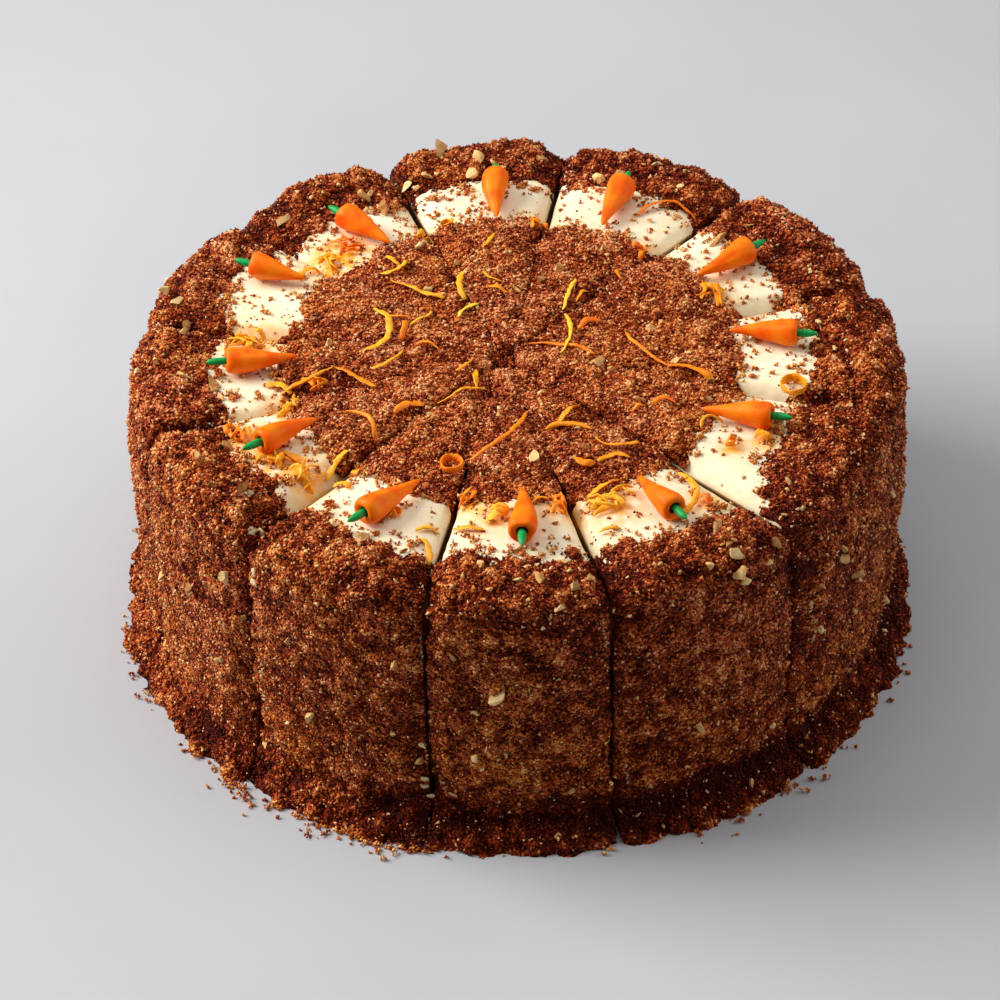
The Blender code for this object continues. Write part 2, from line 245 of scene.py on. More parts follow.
def clumps(points, size, seed=0):
    """Round clumps of a size: 1 on top of each, about 0 between them."""
    scaled = points / size
    base = np.floor(scaled)
    nearest = np.full(points.shape[:-1], 4.0)
    for offset in itertools.product((-1, 0, 1), repeat=3):
        cell = base + offset
        shift = np.stack([dice(cell, seed + axis) for axis in range(3)], axis=-1)
        apart = scaled - cell - 0.5 - 0.4 * shift
        nearest = np.minimum(nearest, (apart ** 2).sum(axis=-1))
    return 1 - np.sqrt(nearest).clip(0, 1)


def lump(points, seed):
    """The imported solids' own smooth unevenness of crumbs, from -1 to 1."""
    shift = Vector((0, 0, 2.5 * seed))
    flat = points.reshape(-1, 3)
    values = [noise.noise(Vector(point) / LUMP_SIZE + shift) for point in flat]
    return np.array(values).reshape(points.shape[:-1])


# ---------------------------------------------------------------- slices

def direction(angle):
    """The level direction that an angle stands for."""
    return np.stack([np.sin(angle), -np.cos(angle)], axis=-1)


def edge(u):
    """0 in the middle of a slice, 1 at its cuts, rising close to them."""
    return abs(2 * u - 1) ** 5


class Slice:
    """The wedge between two cuts, and the places in it."""

    def __init__(self, number):
        before = (number - 1) % SLICES
        step = 360 / SLICES
        self.number = number
        self.start = math.radians(step * (number - 0.5) + CUT_TURN[before])
        self.end = math.radians(step * (number + 0.5) + CUT_TURN[number])
        self.lift = SLICE_LIFT[number] * MM
        self.gaps = (CUT_WIDTH[before] * MM, CUT_WIDTH[number] * MM)
        self.corner = self.find_corner(*self.gaps)

    def find_corner(self, first_width, second_width):
        """Where the two cut faces would meet, each half a cut's width off the knife's line."""
        first = direction(self.start + math.pi / 2) * first_width / 2
        second = direction(self.end - math.pi / 2) * second_width / 2
        along = direction(self.start)
        across = direction(self.end)
        apart = second - first
        turn = along[0] * across[1] - along[1] * across[0]
        reach = (apart[0] * across[1] - apart[1] * across[0]) / turn
        return CUT_CENTRE + first + along * reach

    def place(self, radius, u, height):
        """Points at radii, u of the way from the first cut to the second, before the shift."""
        radius, u, height = np.broadcast_arrays(radius, u, height)
        out = direction(self.start + (self.end - self.start) * u)
        near = out @ self.corner
        whole = -near + np.sqrt(near ** 2 + CAKE_RADIUS ** 2 - self.corner @ self.corner)
        plan = self.corner + out * (whole * radius / CAKE_RADIUS)[..., None]
        return np.concatenate([plan, height[..., None]], axis=-1)

    def cream_top(self, radius, u):
        """Height of the cream, which falls off towards the cuts, and more so further out."""
        share = (np.maximum(radius, 0) / CREAM_RADIUS) ** 0.6
        return CREAM_LEVEL + self.lift - CROWN_FALL * edge(u) * share

    def coat_rim(self, u):
        """Radius where the heap of crumbs on the rim starts, clear of the carrot."""
        uneven = 1.5 * LUMP_HEIGHT * lump(self.place(RIM_EDGE, u, 0), self.number)
        return np.maximum(RIM_EDGE + uneven, CARROTS[self.number][1] * MM + RIM_CLEARANCE)

    def carpet_rim(self, u):
        """Radius where the crumbs over the middle end."""
        uneven = lump(self.place(CARPET_EDGE, u, 0), self.number)
        return CARPET_EDGE + 1.2 * LUMP_HEIGHT * uneven

    def bump(self, radius, u, height):
        """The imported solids' lumps on the coat of crumbs."""
        return lump(self.place(radius, u, height), self.number) * LUMP_HEIGHT


def find_shift(pieces):
    """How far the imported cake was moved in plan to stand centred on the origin."""
    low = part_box("slice_00_sponge")[0]
    corners = [pieces[0].place(radius, np.array(ACROSS), 0) for radius in (TIP, SPONGE_RADIUS)]
    lowest = np.concatenate(corners).min(axis=0)
    return np.array((low.x - lowest[0], low.y - lowest[1], 0))


pieces = [Slice(number) for number in range(SLICES)]
shift = find_shift(pieces)


# ---------------------------------------------------------------- grids

def steps(points, counts):
    """A section's points as rows of radii and heights, with a number of steps to each stretch."""
    radii = np.stack([radius for radius, _ in points])
    heights = np.stack([height for _, height in points])
    rows = [(radii[:1], heights[:1])]
    for i, count in enumerate(counts):
        share = np.linspace(0, 1, count + 1)[1:, None]
        rows.append((radii[i] + (radii[i + 1] - radii[i]) * share,
                     heights[i] + (heights[i + 1] - heights[i]) * share))
    return [np.concatenate(part).T for part in zip(*rows)]


def smoothed(values, times):
    """Rows of values rounded off along their second direction, ends kept."""
    for _ in range(times):
        inner = (values[:, :-2] + 2 * values[:, 1:-1] + values[:, 2:]) / 4
        values = np.concatenate([values[:, :1], inner, values[:, -1:]], axis=1)
    return values


def normals_of(grid):
    """Outward directions at a grid's points."""
    across = np.gradient(grid, axis=0)
    down = np.gradient(grid, axis=1)
    normal = np.cross(down, across)
    return normal / np.linalg.norm(normal, axis=-1, keepdims=True)


def grid_faces(columns, rows, first=0):
    """Quads of a grid whose points are numbered row by row from first, facing outward."""
    index = first + np.arange(columns * rows).reshape(columns, rows)
    quads = [index[:-1, :-1], index[:-1, 1:], index[1:, 1:], index[1:, :-1]]
    return np.stack(quads, axis=-1).reshape(-1, 4)


def walled(outer, near_wall, far_wall):
    """A grid with more columns before and after it, which run down its two cut faces."""
    return np.concatenate([near_wall, outer, far_wall], axis=0)


def wall(outer_row, inner_row, count):
    """Columns from an inner line out to the grid's own last column, left out itself."""
    share = (np.arange(count) / count)[:, None, None]
    return inner_row + (outer_row - inner_row) * share


def add_mesh(name, points, faces, material, smooth=True, **numbers):
    """A piece that rides on the cake, with a number for each point under each further name."""
    mesh = bpy.data.meshes.new(name)
    mesh.from_pydata((points.reshape(-1, 3) + shift).tolist(), [], faces.tolist())
    for key, values in numbers.items():
        attribute = mesh.attributes.new(key, "FLOAT", "POINT")
        attribute.data.foreach_set("value", np.asarray(values, np.float32).ravel())
    if smooth:
        mesh.shade_smooth()
    mesh.materials.append(material)
    piece = bpy.data.objects.new(name, mesh)
    bpy.context.scene.collection.objects.link(piece)
    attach(piece, "root")
    return piece


def inside_box(points):
    """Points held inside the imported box."""
    low = np.array(cad_low) + BOX_MARGIN - shift
    high = np.array(cad_high) - BOX_MARGIN - shift
    low[2] = cad_low.z
    return points.clip(low, high)


# ---------------------------------------------------------------- materials

def new_material(name, roughness, specular=0.5):
    """A material, its tree's nodes and links, and its shader."""
    made = bpy.data.materials.new(name)
    made.use_nodes = True
    shader = made.node_tree.nodes["Principled BSDF"]
    shader.inputs["Roughness"].default_value = roughness
    shader.inputs["Specular IOR Level"].default_value = specular
    return made, made.node_tree, shader


def add_node(tree, kind, **settings):
    """A shader node; a setting is a property, or an input where the node has one by that name."""
    node = tree.nodes.new(kind)
    for key, value in settings.items():
        label = key.replace("_", " ")
        if label in node.inputs:
            node.inputs[label].default_value = value
        else:
            setattr(node, key, value)
    return node


def object_noise(tree, size, detail=2.0):
    """A noise over the object's own coordinates, in metres."""
    place = add_node(tree, "ShaderNodeTexCoord")
    made = add_node(tree, "ShaderNodeTexNoise", Scale=1 / size, Detail=detail)
    tree.links.new(place.outputs["Object"], made.inputs["Vector"])
    return made.outputs["Fac"]


def cells(tree, size):
    """Random cells of a size over the object's own coordinates."""
    place = add_node(tree, "ShaderNodeTexCoord")
    made = add_node(tree, "ShaderNodeTexVoronoi", Scale=1 / size)
    tree.links.new(place.outputs["Object"], made.inputs["Vector"])
    return made


def ramp(tree, factor, stops):
    """Colours from a factor: (position, colour) stops."""
    made = add_node(tree, "ShaderNodeValToRGB")
    elements = made.color_ramp.elements
    while len(elements) < len(stops):
        elements.new(0.5)
    for element, (position, colour) in zip(elements, stops):
        element.position = position
        element.color = (*colour, 1)
    tree.links.new(factor, made.inputs["Fac"])
    return made.outputs["Color"]


def maths(tree, operation, *values, clamp=False):
    """The result of a Math node on sockets and numbers."""
    made = add_node(tree, "ShaderNodeMath", operation=operation, use_clamp=clamp)
    for socket, value in zip(made.inputs, values):
        if isinstance(value, (int, float)):
            socket.default_value = value
        else:
            tree.links.new(value, socket)
    return made.outputs["Value"]


def blend(tree, factor, first, second, blend_type="MIX"):
    """Two colours mixed; each is a socket or a colour, and so is the factor."""
    made = add_node(tree, "ShaderNodeMix", data_type="RGBA", blend_type=blend_type)
    for socket, value in zip((made.inputs[0], made.inputs[6], made.inputs[7]), (factor, first, second)):
        if isinstance(value, (int, float)):
            socket.default_value = value
        elif isinstance(value, tuple):
            socket.default_value = (*value, 1)
        else:
            tree.links.new(value, socket)
    return made.outputs[2]


def attribute(tree, name):
    """A number kept on the mesh's points."""
    return add_node(tree, "ShaderNodeAttribute", attribute_name=name).outputs["Fac"]


def add_bump(tree, shader, height, distance, strength=1.0):
    """Fine relief from a height."""
    bump = add_node(tree, "ShaderNodeBump", Distance=distance, Strength=strength)
    tree.links.new(height, bump.inputs["Height"])
    tree.links.new(bump.outputs["Normal"], shader.inputs["Normal"])


# Crumb colours from deep shade to the palest grain: cooler brown, and the more orange kind
BROWN = ((0.0, (0.03, 0.001, 0.0005)), (0.3, (0.19, 0.012, 0.002)), (0.55, (0.46, 0.085, 0.022)),
         (0.8, (0.75, 0.265, 0.085)), (1.0, (0.95, 0.60, 0.34)))
TAWNY = ((0.0, (0.04, 0.002, 0.0005)), (0.3, (0.26, 0.026, 0.002)), (0.55, (0.56, 0.12, 0.014)),
         (0.8, (0.83, 0.34, 0.055)), (1.0, (0.97, 0.63, 0.22)))
GLINT = (1.0, 0.66, 0.42, 1)        # the crumbs' gloss is as warm as they are


def crumb_material():
    """The relief of pressed crumbs: a random tone to each grain, plus the tone kept on the mesh, which holds
    painted shade, darker in the pits, and painted light.
    """
    made, tree, shader = new_material("crumbs", 0.7, 0.15)
    shader.inputs["Specular Tint"].default_value = GLINT
    grains = cells(tree, 0.7 * MM)
    split = add_node(tree, "ShaderNodeSeparateColor")
    tree.links.new(grains.outputs["Color"], split.inputs["Color"])
    tone = maths(tree, "MULTIPLY_ADD", split.outputs["Red"], 0.76, -0.38)
    tone = maths(tree, "ADD", tone, attribute(tree, "tone"), clamp=True)
    warm = attribute(tree, "warm")
    colour = blend(tree, warm, ramp(tree, tone, BROWN), ramp(tree, tone, TAWNY))
    tree.links.new(colour, shader.inputs["Base Color"])
    height = maths(tree, "MULTIPLY_ADD", grains.outputs["Distance"], -0.8, object_noise(tree, 0.5 * MM))
    add_bump(tree, shader, height, 0.5 * MM, 0.8)
    return made


def grain_material():
    """Loose grains, each of its own tone, which holds painted shade and light as well as random tone."""
    made, tree, shader = new_material("loose_crumbs", 0.38, 0.28)
    shader.inputs["Specular Tint"].default_value = GLINT
    fine = maths(tree, "MULTIPLY_ADD", object_noise(tree, 0.45 * MM), 0.4, -0.2)
    tone = maths(tree, "ADD", attribute(tree, "tone"), fine, clamp=True)
    warm = attribute(tree, "warm")
    colour = blend(tree, warm, ramp(tree, tone, BROWN), ramp(tree, tone, TAWNY))
    tree.links.new(colour, shader.inputs["Base Color"])
    return made


def cream_material():
    """Soft white cream with fine smears; where it was cut, ivory to tan from smeared crumbs, and darker down the
    cut faces as painted shade in the gaps.
    """
    made, tree, shader = new_material("cream", 0.5, 0.3)
    patch = ramp(tree, object_noise(tree, 9 * MM, 3), (
        (0.35, (0.88, 0.76, 0.50)), (0.6, (0.91, 0.83, 0.62))))
    cut = attribute(tree, "cut")
    # the cut ramp: ivory and tan smears, then painted shade, dark brown to near black deep in the cuts
    cut_smear_and_shade = ramp(tree, cut, ((0.0, (0.90, 0.80, 0.56)), (0.2, (0.78, 0.62, 0.36)), (0.4, (0.55, 0.36, 0.17)),
                           (0.6, (0.20, 0.08, 0.03)), (1.0, (0.05, 0.015, 0.005))))
    colour = blend(tree, maths(tree, "MULTIPLY", cut, 5.0, clamp=True), patch, cut_smear_and_shade)
    soaked = maths(tree, "MULTIPLY_ADD", object_noise(tree, 3 * MM, 2), 4.0, -1.2, clamp=True)
    colour = blend(tree, maths(tree, "MULTIPLY", soaked, attribute(tree, "stain")), colour, (1.0, 0.45, 0.02))
    tree.links.new(colour, shader.inputs["Base Color"])
    shader.inputs["Subsurface Weight"].default_value = 0.25
    shader.inputs["Subsurface Radius"].default_value = (1.0, 0.7, 0.4)
    shader.inputs["Subsurface Scale"].default_value = 1.2 * MM
    add_bump(tree, shader, object_noise(tree, 2.2 * MM, 4), 0.35 * MM, 0.5)
    return made


def sponge_material():
    """Open crumb of the sponge, seen only deep in the cuts, with painted shade darker in its holes."""
    made, tree, shader = new_material("sponge", 0.95, 0.2)
    holes = cells(tree, 2.4 * MM)
    # painted shade: darker towards the middle of each hole
    colour = ramp(tree, holes.outputs["Distance"], (
        (0.1, (0.18, 0.07, 0.025)), (0.6, (0.42, 0.19, 0.07))))
    tree.links.new(colour, shader.inputs["Base Color"])
    add_bump(tree, shader, holes.outputs["Distance"], 1.0 * MM)
    return made


def sugar_material():
    """Satin sugar paste of the carrots, redder in places, with painted shade in the hole round the stalk."""
    made, tree, shader = new_material("sugar_carrot", 0.45, 0.3)
    plain = ramp(tree, object_noise(tree, 6 * MM, 2), (
        (0.3, (1.0, 0.11, 0.0005)), (0.65, (1.0, 0.24, 0.004))))
    # painted shade: the hole round the stalk is coloured dark
    colour = blend(tree, attribute(tree, "hole"), plain, (0.22, 0.012, 0.001))
    shader.inputs["Specular Tint"].default_value = (1.0, 0.7, 0.35, 1)
    tree.links.new(colour, shader.inputs["Base Color"])
    shader.inputs["Subsurface Weight"].default_value = 0.4
    shader.inputs["Subsurface Radius"].default_value = (1.0, 0.25, 0.03)
    shader.inputs["Subsurface Scale"].default_value = 2.5 * MM
    add_bump(tree, shader, object_noise(tree, 0.9 * MM, 3), 0.12 * MM, 0.5)
    return made


def stalk_material():
    """Green sugar paste."""
    made, tree, shader = new_material("stalk", 0.45, 0.3)
    colour = ramp(tree, object_noise(tree, 2 * MM, 2), (
        (0.3, (0.002, 0.26, 0.045)), (0.7, (0.004, 0.42, 0.09))))
    tree.links.new(colour, shader.inputs["Base Color"])
    add_bump(tree, shader, object_noise(tree, 0.7 * MM, 2), 0.1 * MM, 0.5)
    return made


def walnut_material():
    """Chopped nut, pale inside and browner where some skin is left."""
    made, tree, shader = new_material("walnut", 0.6, 0.35)
    mixed = maths(tree, "MULTIPLY_ADD", object_noise(tree, 2.5 * MM, 3), 0.7, attribute(tree, "tone"))
    colour = ramp(tree, mixed, (
        (0.15, (0.42, 0.17, 0.04)), (0.4, (0.72, 0.42, 0.14)), (0.8, (0.92, 0.69, 0.32))))
    tree.links.new(colour, shader.inputs["Base Color"])
    add_bump(tree, shader, object_noise(tree, 0.8 * MM, 3), 0.3 * MM, 0.6)
    return made


def zest_material():
    """Strands of orange peel, from yellow to deep orange, a little mottled."""
    made, tree, shader = new_material("zest", 0.45, 0.3)
    mottled = maths(tree, "MULTIPLY_ADD", object_noise(tree, 1.4 * MM, 3), 0.9, -0.45)
    tone = maths(tree, "ADD", attribute(tree, "tone"), mottled, clamp=True)
    colour = ramp(tree, tone, (
        (0.0, (0.92, 0.15, 0.001)), (0.45, (1.0, 0.35, 0.004)), (1.0, (1.0, 0.62, 0.05))))
    tree.links.new(colour, shader.inputs["Base Color"])
    shader.inputs["Subsurface Weight"].default_value = 0.3
    shader.inputs["Subsurface Radius"].default_value = (1.0, 0.6, 0.1)
    shader.inputs["Subsurface Scale"].default_value = 0.8 * MM
    add_bump(tree, shader, object_noise(tree, 0.5 * MM, 2), 0.15 * MM, 0.8)
    return made


def floor_material():
    """Pale, slightly blue stone with faint clouds."""
    made, tree, shader = new_material("floor", 0.55, 0.3)
    colour = ramp(tree, object_noise(tree, 0.25, 4), (
        (0.35, (0.455, 0.471, 0.510)), (0.65, (0.498, 0.514, 0.557))))
    tree.links.new(colour, shader.inputs["Base Color"])
    return made


CRUMBS = crumb_material()
GRAINS = grain_material()
CREAM = cream_material()
SUGAR = sugar_material()
STALK = stalk_material()
WALNUT = walnut_material()
ZEST = zest_material()


# ---------------------------------------------------------------- layers of a slice

def crumble(points, seed, loose):
    """How far crumbs stand out at points of a layer: clumps on clumps, less where pressed."""
    coarse = CLUMP_DEPTH * (clumps(points, CLUMP, seed) - 0.6)
    middle = KNOT_DEPTH * (clumps(points, KNOT, seed + 3) - 0.6)
    return loose * (coarse + middle) + 0.35 * MM * rough(points, 1.3 * MM, seed)


def warmth(points):
    """Where the crumbs are more orange: in patches, on the lower side and round the foot's edge."""
    radius = np.hypot(points[..., 0], points[..., 1])
    low = 1 - (abs(points[..., 2] - 28 * MM) / (22 * MM)).clip(0, 1)
    outermost = ((radius - SKIRT_RADIUS + 4 * MM) / (3 * MM)).clip(0, 1)
    patches = 0.28 * rough(points, 26 * MM, 71) + 0.22 * rough(points, 8 * MM, 72)
    return (0.22 + patches + 0.38 * low + 0.6 * outermost).clip(0, 1)


def on_left(points):
    """1 on the left of the cake, where its foot is a plain slope and the crumbs are painted lighter, as painted
    light on the window's side; else 0.
    """
    turned_left = points[..., 0] * -0.94 - points[..., 1] * 0.34
    share = turned_left / np.maximum(np.hypot(points[..., 0], points[..., 1]), MM)
    return ((share - 0.6) / 0.25).clip(0, 1)


def patches_and_painted_light(points):
    """Lighter and darker places: random patches, painted shade in a dark band over the crease and on top of the
    foot, and painted light on the top and on the left, the window's side.
    """
    radius = np.hypot(points[..., 0], points[..., 1])
    beside = (radius > CREAM_RADIUS - 2 * MM) & (radius < SKIRT_RADIUS - 2 * MM)
    # painted shade: a dark band over the crease and the foot's top, weaker on the lit left
    band = 1 - (abs(points[..., 2] - CREASE_HEIGHT) / (10 * MM)).clip(0, 1)
    dark = 0.43 * (1 - 0.7 * on_left(points)) * band * beside
    # painted light: the crumbs on top are made lighter, most over the middle
    on_top = ((points[..., 2] - CREAM_LEVEL + 4 * MM) / (6 * MM)).clip(0, 1)
    light = on_top * np.where(radius < 85 * MM, 0.12, 0.02)
    patches = 0.10 * rough(points, 4 * MM, 83) + 0.11 * rough(points, 8 * MM, 81)
    patches += 0.08 * rough(points, 20 * MM, 82)
    # painted light: the crumbs on the left, the window's side, are made lighter
    left = 0.08 * on_left(points) * (radius > 85 * MM)
    return patches * np.where(radius < 80 * MM, 0.7, 1) - dark + light + left


def layer_grid(piece, u, outline):
    """A layer's outer points, worked out from its outline."""
    lengths = [np.hypot(b[0] - a[0], b[1] - a[1]).mean() for a, b in zip(outline, outline[1:])]
    counts = [max(1, round(length / RELIEF_STEP)) for length in lengths]
    radii, heights = (smoothed(part, 3) for part in steps(outline, counts))
    return piece.place(radii, u[:, None], heights), radii, heights


def under_cream(piece, u, radii, heights):
    """Points a little inside the cream, each as near as can be to a place beyond it."""
    u = u[:, None]
    middle_radius = CREAM_RADIUS - CORNER * edge(u) - CREAM_ROUND
    middle_height = piece.cream_top(CREAM_RADIUS, u) - CREAM_ROUND
    out = np.maximum(radii - middle_radius, 0)
    up = np.maximum(heights - middle_height, 0)
    far = np.maximum(np.hypot(out, up), 1e-6)
    over_top = radii <= middle_radius
    depth = CREAM_ROUND - WALL_DEPTH
    side_radius = np.minimum(radii, middle_radius) + np.where(over_top, 0, out / far) * depth
    side_height = np.minimum(heights, middle_height) + np.where(over_top, 1, up / far) * depth
    height = np.where(over_top, piece.cream_top(radii, u) - WALL_DEPTH, side_height)
    return piece.place(side_radius, u, height)


def lean_over_cuts(piece, outer, crack, sway, seed, share=1.0):
    """Moves the first and last columns over their cuts, down to a crack of a width."""
    crack = np.broadcast_to(crack, outer.shape[:2])
    share = np.broadcast_to(share, outer.shape[:2])
    for column, gap, sign, cut in ((0, piece.gaps[0], -1, piece.start), (-1, piece.gaps[1], 1, piece.end)):
        uneven = 0.5 * rough(outer[column], 2.2 * MM, seed + column)
        uneven += 0.5 * rough(outer[column], 6 * MM, seed + column)
        uneven += 0.5 * rough(outer[column], 16 * MM, seed + column)
        reach = share[column] * ((gap - crack[column]) / 2 + sway * uneven)
        outer[column, :, :2] += sign * direction(cut + math.pi / 2) * np.maximum(reach, -sway)[:, None]


def coat_crack(grid):
    """How wide a cut stands open in the coat: closed over the rim, a thin line down the side."""
    on_side = ((CREAM_LEVEL - 2 * MM - grid[..., 2]) / (8 * MM)).clip(0, 1)
    return (-0.4 + 1.05 * on_side) * MM


def carpet_crack(grid):
    """The same over the middle of the cake: closed but for its outer end."""
    radius = np.hypot(grid[..., 0], grid[..., 1])
    return (-1.8 + 2.0 * ((radius - 50 * MM) / (20 * MM)).clip(0, 1)) * MM


def crumb_layer(name, node, piece, u, outline, crack, depth, valley):
    """A layer of crumbs with its relief and its two cut faces. Gives the grid, with the relief."""
    grid, radii, heights = layer_grid(piece, u, outline)
    normal = normals_of(grid)
    seed = 10 * piece.number
    loose = depth * (0.7 + 0.3 * normal[..., 2]).clip(0.6, 1)
    groove = (0.7 + 0.7 * rough(grid, 9 * MM, seed + 7)) * abs(2 * u - 1)[:, None] ** 12
    relief = crumble(grid, seed, loose) - valley * loose * groove
    outer = grid + normal * (relief - SUNK)[..., None]
    lean_over_cuts(piece, outer, crack(grid), 0.7 * MM, seed)
    outer = inside_box(outer)
    inner = under_cream(piece, u, radii, heights)
    near = wall(outer[0], inner[0], 2)
    far = wall(outer[-1], inner[-1], 2)[::-1]
    points = walled(outer, near, far)
    columns, rows = points.shape[:2]
    # painted shade and light: the tone is darker in the pits and on the wall columns down each cut, lighter on
    # the clumps, with the painted crease band and the lighter top and left
    deep = np.full((2, rows), -0.7 * MM)
    tone = 0.36 + np.concatenate([deep, relief, deep]) / (4 * MM) + patches_and_painted_light(points)
    faces = grid_faces(columns, rows)
    layer = add_mesh(name, points, faces, CRUMBS, tone=tone, warm=warmth(points))
    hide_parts(node)
    ground_parts.append((points.reshape(-1, 3), faces))
    return np.concatenate([outer, relief[..., None]], axis=-1)


def rim_spill(piece, u):
    """How far the crumbs on the rim have strayed in over the cream, clear of the carrot."""
    spots = piece.place(RIM_EDGE, u, 0)
    beside = ((abs(2 * u - 1) - 0.3) / 0.3).clip(0, 1)
    spill = beside * ((1 + 3 * on_left(spots)) * MM + 2.5 * MM * rough(spots, 6 * MM, 95))
    for number, side, out, share in PARTED:
        if number == piece.number:
            spill -= out * MM * (1 - abs(u - side) / share).clip(0, 1) ** 0.7
    return spill


def coat_outline(piece, u):
    """The coat's outer section: over the rim, down the side and out over the foot."""
    top = piece.cream_top(CREAM_RADIUS, u)
    fall = edge(u)
    rim = piece.coat_rim(u) - rim_spill(piece, u)
    start = piece.cream_top(rim, u)
    heap = RIM_HEIGHT - RIM_FALL * fall
    crest = top + np.maximum(heap + piece.bump(CREAM_RADIUS, u, top), THIN)
    side = CAKE_RADIUS - CORNER * fall
    low = LOW_SIDE - CORNER * fall
    edge_points = piece.place(SKIRT_RADIUS, u, 0)
    skirt = SKIRT_RADIUS + 1.2 * piece.bump(SKIRT_RADIUS, u, 0)
    skirt += 1.6 * MM * rough(edge_points, 6 * MM, 91) + 1.0 * MM * rough(edge_points, 2.5 * MM, 92)
    skirt -= 1.0 * MM
    skirt -= 3 * MM * (edge_points[..., 0] / SKIRT_RADIUS).clip(0, 1) ** 6
    foot = SKIRT_HEIGHT + 0.5 * piece.bump(CREASE, u, 0)
    filled = on_left(edge_points)
    crest_radius = np.maximum(side - CREST, rim + HEAP_SLOPE)
    flat = 0 * u
    return [
        (rim - RAGGED, start - 1.6 * MM),
        (rim - 0.5 * MM, start + 0.3 * MM),
        (rim + 1 * MM, start + THIN),
        (rim + HEAP_SLOPE, start + np.maximum(0.6 * heap, THIN)),
        (crest_radius, crest),
        (np.maximum(side - BROW, crest_radius + 1 * MM), crest - BROW_FALL),
        (side - SHOULDER + 0.4 * piece.bump(side, u, top), top - SHOULDER_FALL),
        (side + 0.4 * piece.bump(side, u, 0.8 * top), 0.8 * top),
        (side + 0.4 * piece.bump(side, u, 0.5 * top), 0.5 * top),
        (low + 0.4 * piece.bump(side, u, 0.2 * top), 0.2 * top),
        (CREASE + 2.5 * MM * filled, CREASE_HEIGHT + 3 * MM * filled),
        (CREASE + 0.4 * (skirt - CREASE), foot),
        (CREASE + 0.8 * (skirt - CREASE), 0.5 * SKIRT_HEIGHT + flat),
        (skirt, flat),
    ]


def carpet_outline(piece, u):
    """The section of the crumbs over the middle, from the tip out to the bare cream."""
    def heap(radius, share):
        bump = lump(piece.place(radius, u, 0), piece.number)
        return (radius, piece.cream_top(radius, u) + share * CARPET_DEPTH * (1 + 0.3 * bump) + SUNK)

    rim = piece.carpet_rim(u)
    rim = rim + 2.2 * MM * rough(piece.place(rim, u, 0), 5 * MM, 96)
    flat = 0 * u
    return [
        (0.4 * MM + flat, piece.cream_top(0.8 * MM, u) - 1 * MM),
        heap(2.5 * MM + flat, 0.7),
        heap(10 * MM + flat, 1.0),
        heap(45 * MM + flat, 1.1),
        heap(rim - CARPET_SLOPE, 1.0),
        heap(rim - 1 * MM, 0.5),
        (rim + RAGGED, piece.cream_top(rim + RAGGED, u) - 1.4 * MM),
    ]


def cream_outline(piece, u):
    """The cream's outer section: over the top, round its edge and down the side."""
    side = CREAM_RADIUS - CORNER * edge(u)
    middle = side - CREAM_ROUND
    top = piece.cream_top(CREAM_RADIUS, u)
    flat = 0 * u
    outline = [(2.4 * MM + flat, piece.cream_top(2.4 * MM, u) - 3 * MM)]
    outline += [(radius + flat, piece.cream_top(radius + flat, u))
                for radius in (20 * MM, 45 * MM, 62 * MM, 104 * MM, middle)]
    for share in (1 / 3, 2 / 3, 1):
        turn = share * math.pi / 2
        outline.append((middle + CREAM_ROUND * math.sin(turn),
                        top - CREAM_ROUND * (1 - math.cos(turn))))
    outline.append((side, flat))
    return outline


def dragged(piece, u, radii):
    """How much lower the cream lies where the knife dragged it down, and its ivory tint there, partly smeared
    crumbs and partly painted shade on the slope.
    """
    span = (piece.end - piece.start) * radii
    slope, tint = 0 * span, 0 * span
    for cut, side, away in ((piece.number - 1, 1, u * span), (piece.number, 0, (1 - u) * span)):
        sliced, width, depth = DRAGGED[cut]
        if sliced != side:
            width, depth = 1.2, 0.8
        near = (1 - away / (width * MM)).clip(0, 1)
        slope += depth * MM * near ** 1.3
        # an ivory-tan tint: partly smeared crumbs, partly painted shade on the dragged slope
        tint += 0.04 * depth * near
    return slope, tint


def stains(points):
    """How much the juice of the tangled zest has coloured the cream, from 0 to 1."""
    total = 0
    for x, y, width, _, _ in ZEST_CLUMPS:
        far = np.hypot(points[..., 0] - x * MM, points[..., 1] - y * MM) / (1.0 * width * MM)
        total = total + np.exp(-far ** 2)
    return total.clip(0, 1)


